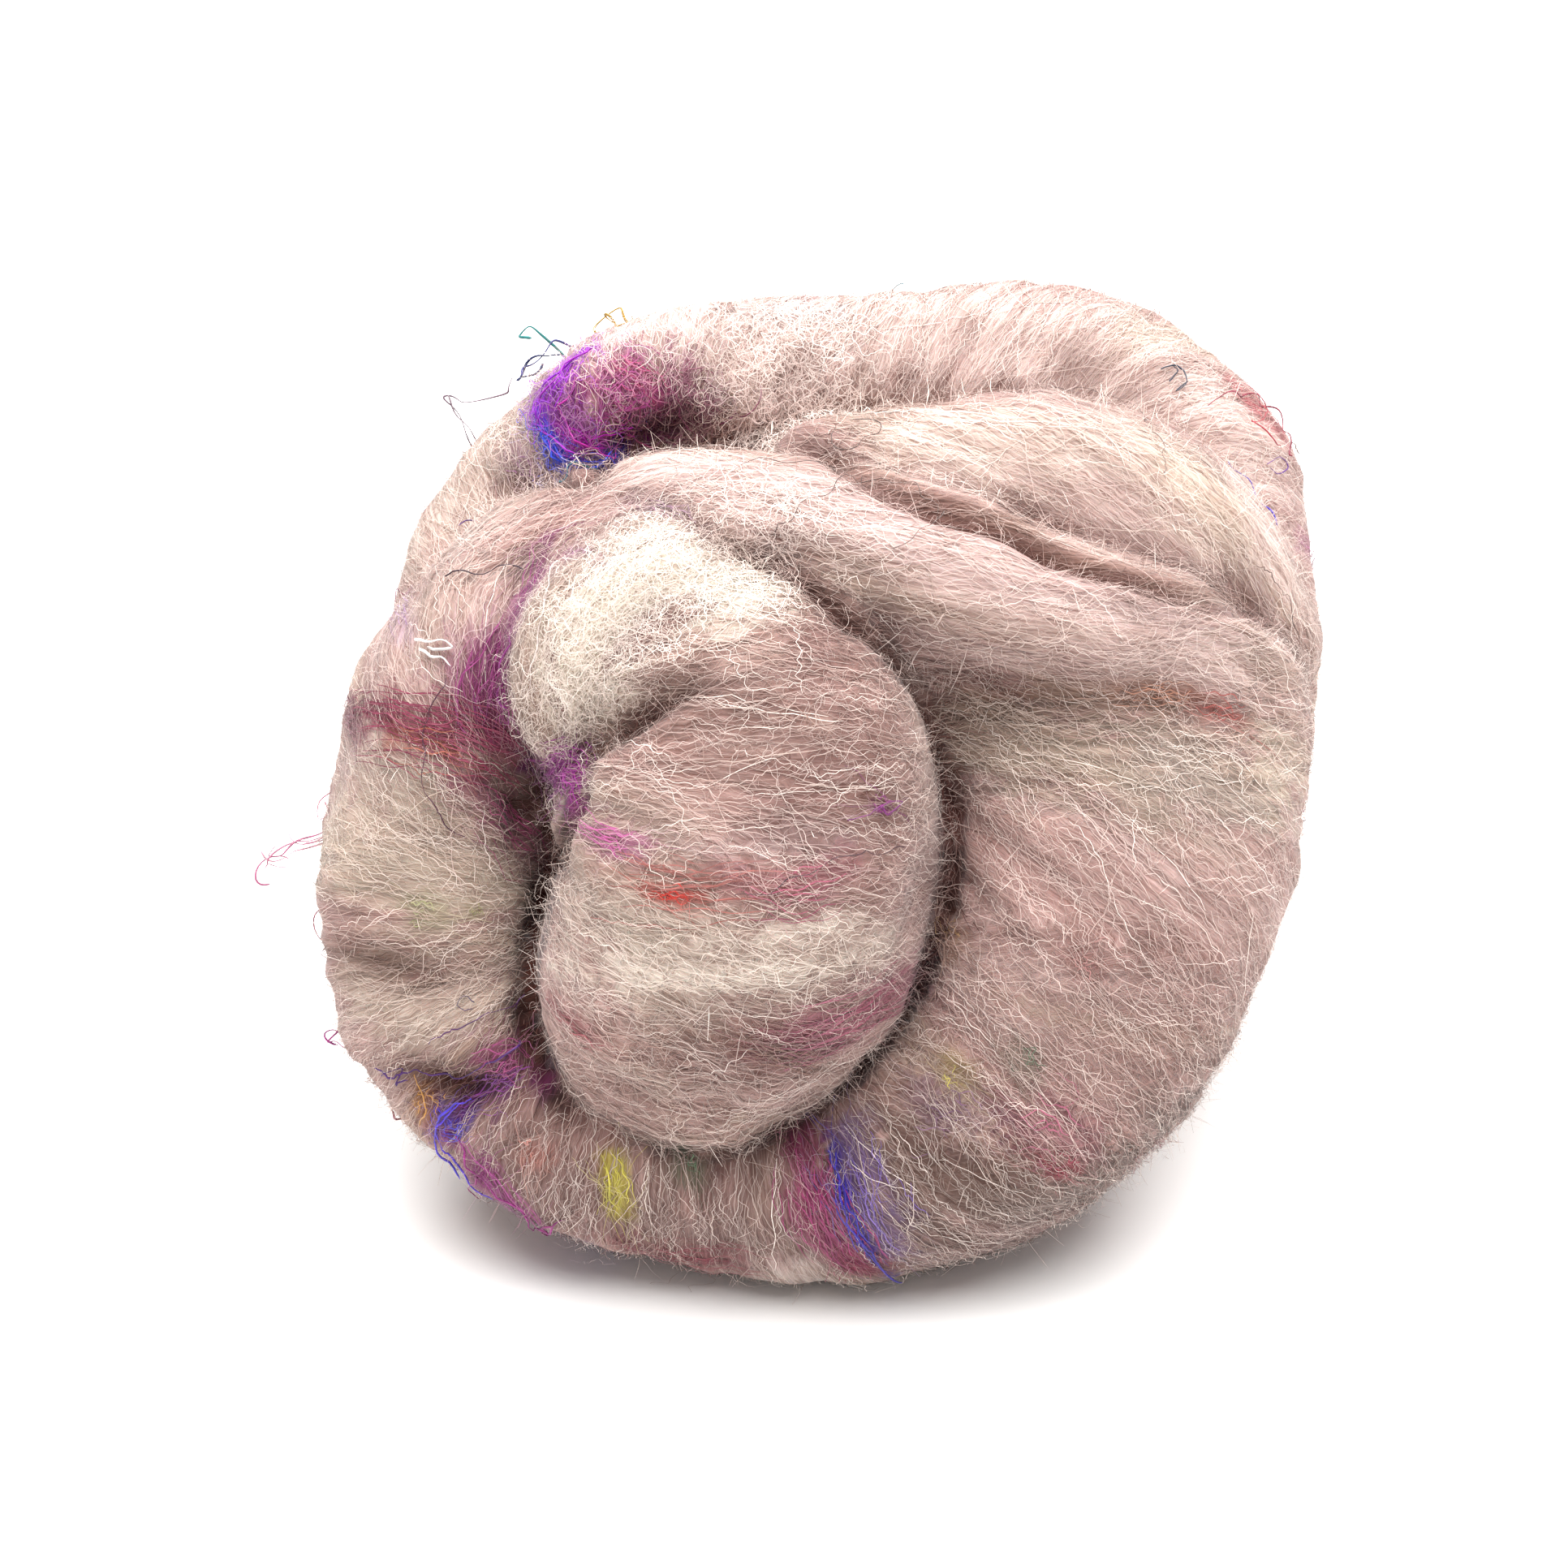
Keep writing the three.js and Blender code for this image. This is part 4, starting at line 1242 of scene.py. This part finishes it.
# Threads that stand off the outline also say how far out they are.
threads_off_face = [
    ("#7A6270", 0.40, 0.5, [
        (-69, 64, -24), (-73, 73, -20), (-76.3, 79, -18), (-72.6, 78.2, -18), (-64, 80, -20),
        (-63, 83, -20),
    ]),
    ("#86707A", 0.38, 0.5, [(-66, 65, -22), (-68.5, 68.5, -18), (-73, 73.4, -16), (-76, 79, -17)]),
    ("#6A4A80", 0.44, 0.7, [
        (-69, 58, -22), (-67, 61, -15), (-63, 65, -12), (-60, 69, -14), (-56, 70, -20),
    ]),
    ("#C07C94", 0.38, 0.8, [
        (-93, -10, 16), (-98, -11, 17), (-102, -12.5, 18), (-106, -14.5, 18), (-108, -17, 18),
    ]),
    ("#BC6A8C", 0.42, 0.8, [
        (-93, -9, 14), (-99, -10, 15), (-103, -13, 16), (-107, -15, 16), (-109, -19, 16), (-106, -20, 16),
    ]),
    ("#CC90A0", 0.36, 0.9, [(-94, -12, 16), (-100, -13, 17), (-105, -15, 17), (-108, -13, 17)]),
    ("#A83A88", 0.40, 1.0, [
        (-86, -52, 14), (-90, -50, 16), (-94, -48, 17), (-96, -48.5, 17), (-93, -50, 16),
    ]),
    ("#B04A90", 0.34, 1.2, [(-86, -51, 14), (-92, -50.5, 16), (-95, -50, 16), (-92, -48, 16)]),
    ("#B8607A", 0.26, 0.5, [(-95, -2, 12), (-97.5, -4, 14), (-97, -7, 15), (-95.5, -6, 15), (-96, -3, 14)]),
    ("#A8506A", 0.26, 0.7, [
        (-94, -22, 14), (-98, -25, 15), (-97, -30, 16), (-93, -31, 18), (-95, -27, 18),
    ]),
    ("#7A4A5A", 0.26, 0.7, [(-94, -30, 14), (-96.5, -33, 15), (-93, -36, 17), (-90, -35, 18)]),
    ("#8A6A3C", 0.40, 0.9, [
        (-75, 49, -18), (-78, 53, -17), (-80, 51, -16), (-79, 47, -15), (-81, 45, -14),
    ]),
    ("#9A6878", 0.34, 0.9, [(-78, 42, -12), (-82, 41, -12), (-84, 38, -10), (-86, 39, -10), (-85, 36, -8)]),
    ("#B87890", 0.24, 1.3, [
        (-93, -12, 15), (-99, -12, 17), (-103, -10, 16), (-106, -13, 17), (-104, -16, 17),
    ]),
    ("#C88CA0", 0.22, 1.4, [(-92, -8, 14), (-97, -11, 16), (-102, -15, 17), (-107, -16, 16)]),
    ("#1F7A78", 0.60, 0.4, [
        (-49, 84, -25), (-54, 89, -25), (-57, 92.5, -24), (-60, 94, -24), (-61.5, 92.5, -24),
        (-59.5, 91.5, -24),
    ]),
    ("#B8902E", 0.60, 1.0, [
        (-42, 86, -20), (-45, 93, -18), (-41, 97, -18), (-39, 94, -17), (-42, 92, -16),
    ]),
    ("#C09A3C", 0.50, 1.2, [
        (-40, 86, -20), (-42, 94, -17), (-44, 96, -18), (-40, 92, -18), (-38, 95, -18),
    ]),
    ("#2E3560", 0.55, 0.8, [
        (-48, 83, -22), (-53, 88, -22), (-57, 88, -20), (-60, 85, -20), (-62.5, 82, -20), (-59, 84, -20),
        (-56, 86, -19),
    ]),
    ("#3A3A78", 0.50, 0.8, [
        (-47, 85, -22), (-52, 90, -22), (-55, 90, -20), (-59, 86, -20), (-61, 83.5, -19),
    ]),
]
THREAD_STEP = 0.7  # mm between the rings of a thread
THREAD_SIDES = 5
ON_FACE_LIFT = 1.3  # mm over the skin, clear of the loose fibres
BEHIND_LIFT = 0.7


def tube_rows(line, thickness, wave, chance, lift):
    """A kinked thread along a line of places, as rings of points. Its kinks are about 8 and 20 mm long."""
    length = np.linalg.norm(np.diff(through(line, LINE_POINTS), axis=0), axis=1).sum()
    count = max(10, round(length / THREAD_STEP))
    path = through(line, count)
    if lift:
        path = set_on(path, np.full(count, lift))
    run = np.linspace(0, length, count)
    phase = chance.uniform(0, 6.28, 6)
    kinks = [np.sin(run / 1.3 + phase[k]) + 0.8 * np.sin(run / 3.1 + phase[k + 3]) for k in range(3)]
    kinks = np.stack(kinks, 1)
    path = above_table(path + kinks * wave * 0.55 + 0.2 * FACE_AXES[:, 2])
    along = unit(np.gradient(path, axis=0))
    first = unit(np.cross(along, (0.3, 0.2, 1)))
    second = np.cross(along, first)
    angle = np.linspace(0, 2 * math.pi, THREAD_SIDES, endpoint=False)
    radius = thickness / 2 * (0.85 + 0.3 * np.sin(run / 2 + phase[0])) * np.minimum(1, (length - run + 0.3))
    ring = np.cos(angle)[None, :, None] * first[:, None] + np.sin(angle)[None, :, None] * second[:, None]
    return above_table(path[:, None] + ring * radius[:, None, None])


thread_chance = np.random.default_rng(601)
tubes = []
for code, thickness, wave, route in threads_on_face:
    line = [seen_on(wool_tree, *place) for place in route]
    tubes.append((paint(code), tube_rows(line, thickness, wave, thread_chance, ON_FACE_LIFT)))
for code, thickness, wave, route in threads_off_face:
    tubes.append((paint(code), tube_rows(route, thickness, wave, thread_chance, None)))
# Round the sides and the back, short threads like them lie across the wool.
THREADS_BEHIND = 36
behind_codes = [
    "#4A1C68", "#3A2430", "#F0DDD6", "#8F2F45", "#4027C8", "#C98F45", "#6B5A55", "#9C2F80", "#2A6A78",
]
for number in range(THREADS_BEHIND):
    start = thread_chance.choice(hidden)
    heading = unit(lay[start] + thread_chance.normal(0, 0.6, 3))
    reach = thread_chance.uniform(4, 14)
    curl = np.cross(normals[start], heading) * thread_chance.uniform(-4, 4)
    line = [points[start] + heading * reach * t + curl * (t - 0.5) * t for t in (-0.5, 0, 0.5, 1.0)]
    code = behind_codes[number % len(behind_codes)]
    thickness = thread_chance.uniform(0.2, 0.45)
    tubes.append((paint(code), tube_rows(line, thickness, 0.8, thread_chance, BEHIND_LIFT)))

tube_points = []
tube_quads = []
tube_tints = []
tube_patches = []
total = 0
for number, (tone, rings) in enumerate(tubes):
    count = len(rings)
    walls = ring_faces(count, THREAD_SIDES, total)[:-2]  # without the faces over the ends
    tube_points.append(rings.reshape(-1, 3))
    tube_quads.append(np.array(walls))
    shades = tone[None] * thread_chance.uniform(0.6, 0.9, (count, 1))
    tube_tints.append(np.repeat(shades, THREAD_SIDES, axis=0))
    round_it = np.linspace(0, 1, THREAD_SIDES)[None]
    spots = np.broadcast_arrays(number, round_it, np.linspace(0, 1, count)[:, None])
    tube_patches.append(np.stack(spots, -1).reshape(-1, 3))
    total += count * THREAD_SIDES
threads = piece_from("threads", np.vstack(tube_points), np.vstack(tube_quads), dyed_silk)
add_tint(threads, np.vstack(tube_tints))
add_patches(threads, *np.vstack(tube_patches).T, len(tubes))


# The floor and the light
# A sheet of matt pale paper lies flat under one very large, soft light overhead, in a pale room. It is lit
# so fully that it shows plain white, but for the soft shade at the batt's foot.

FLOOR_HALF = 3.0  # m
floor_mesh = bpy.data.meshes.new("floor")
floor_corners = [(x * FLOOR_HALF, y * FLOOR_HALF, 0) for x, y in ((-1, -1), (1, -1), (1, 1), (-1, 1))]
floor_mesh.from_pydata(floor_corners, [], [(0, 1, 2, 3)])
floor = bpy.data.objects.new("floor", floor_mesh)
bpy.context.scene.collection.objects.link(floor)

# Pale paper: matt, with hardly any gloss.
matt_paper = new_material("matt pale paper")
paper_shader = node(matt_paper, "ShaderNodeBsdfPrincipled", {"Roughness": 0.9, "Specular IOR Level": 0.1})
paper_shader.inputs["Base Color"].default_value = (*paint("#F2F1EF"), 1)
node(matt_paper, "ShaderNodeOutputMaterial", {}, {"Surface": (paper_shader, "BSDF")})
floor_mesh.materials.append(matt_paper)

room = bpy.data.worlds.new("pale room")
room.use_nodes = True
room.node_tree.nodes["Background"].inputs["Color"].default_value = (*paint("#F7F8FA"), 1)
room.node_tree.nodes["Background"].inputs["Strength"].default_value = 0.50
bpy.context.scene.world = room

SOFTBOX_PLACE = Vector((0.05, 0.1, 1.5))  # m
softbox_lamp = bpy.data.lights.new("softbox", "AREA")
softbox_lamp.shape = "DISK"
softbox_lamp.size = 2.4
softbox_lamp.energy = 98.0
softbox = bpy.data.objects.new("softbox", softbox_lamp)
softbox.location = SOFTBOX_PLACE
softbox.rotation_euler = (-SOFTBOX_PLACE).to_track_quat("-Z", "Y").to_euler()
bpy.context.scene.collection.objects.link(softbox)
bpy.context.scene.view_settings.view_transform = "Standard"  # white paper shows fully white
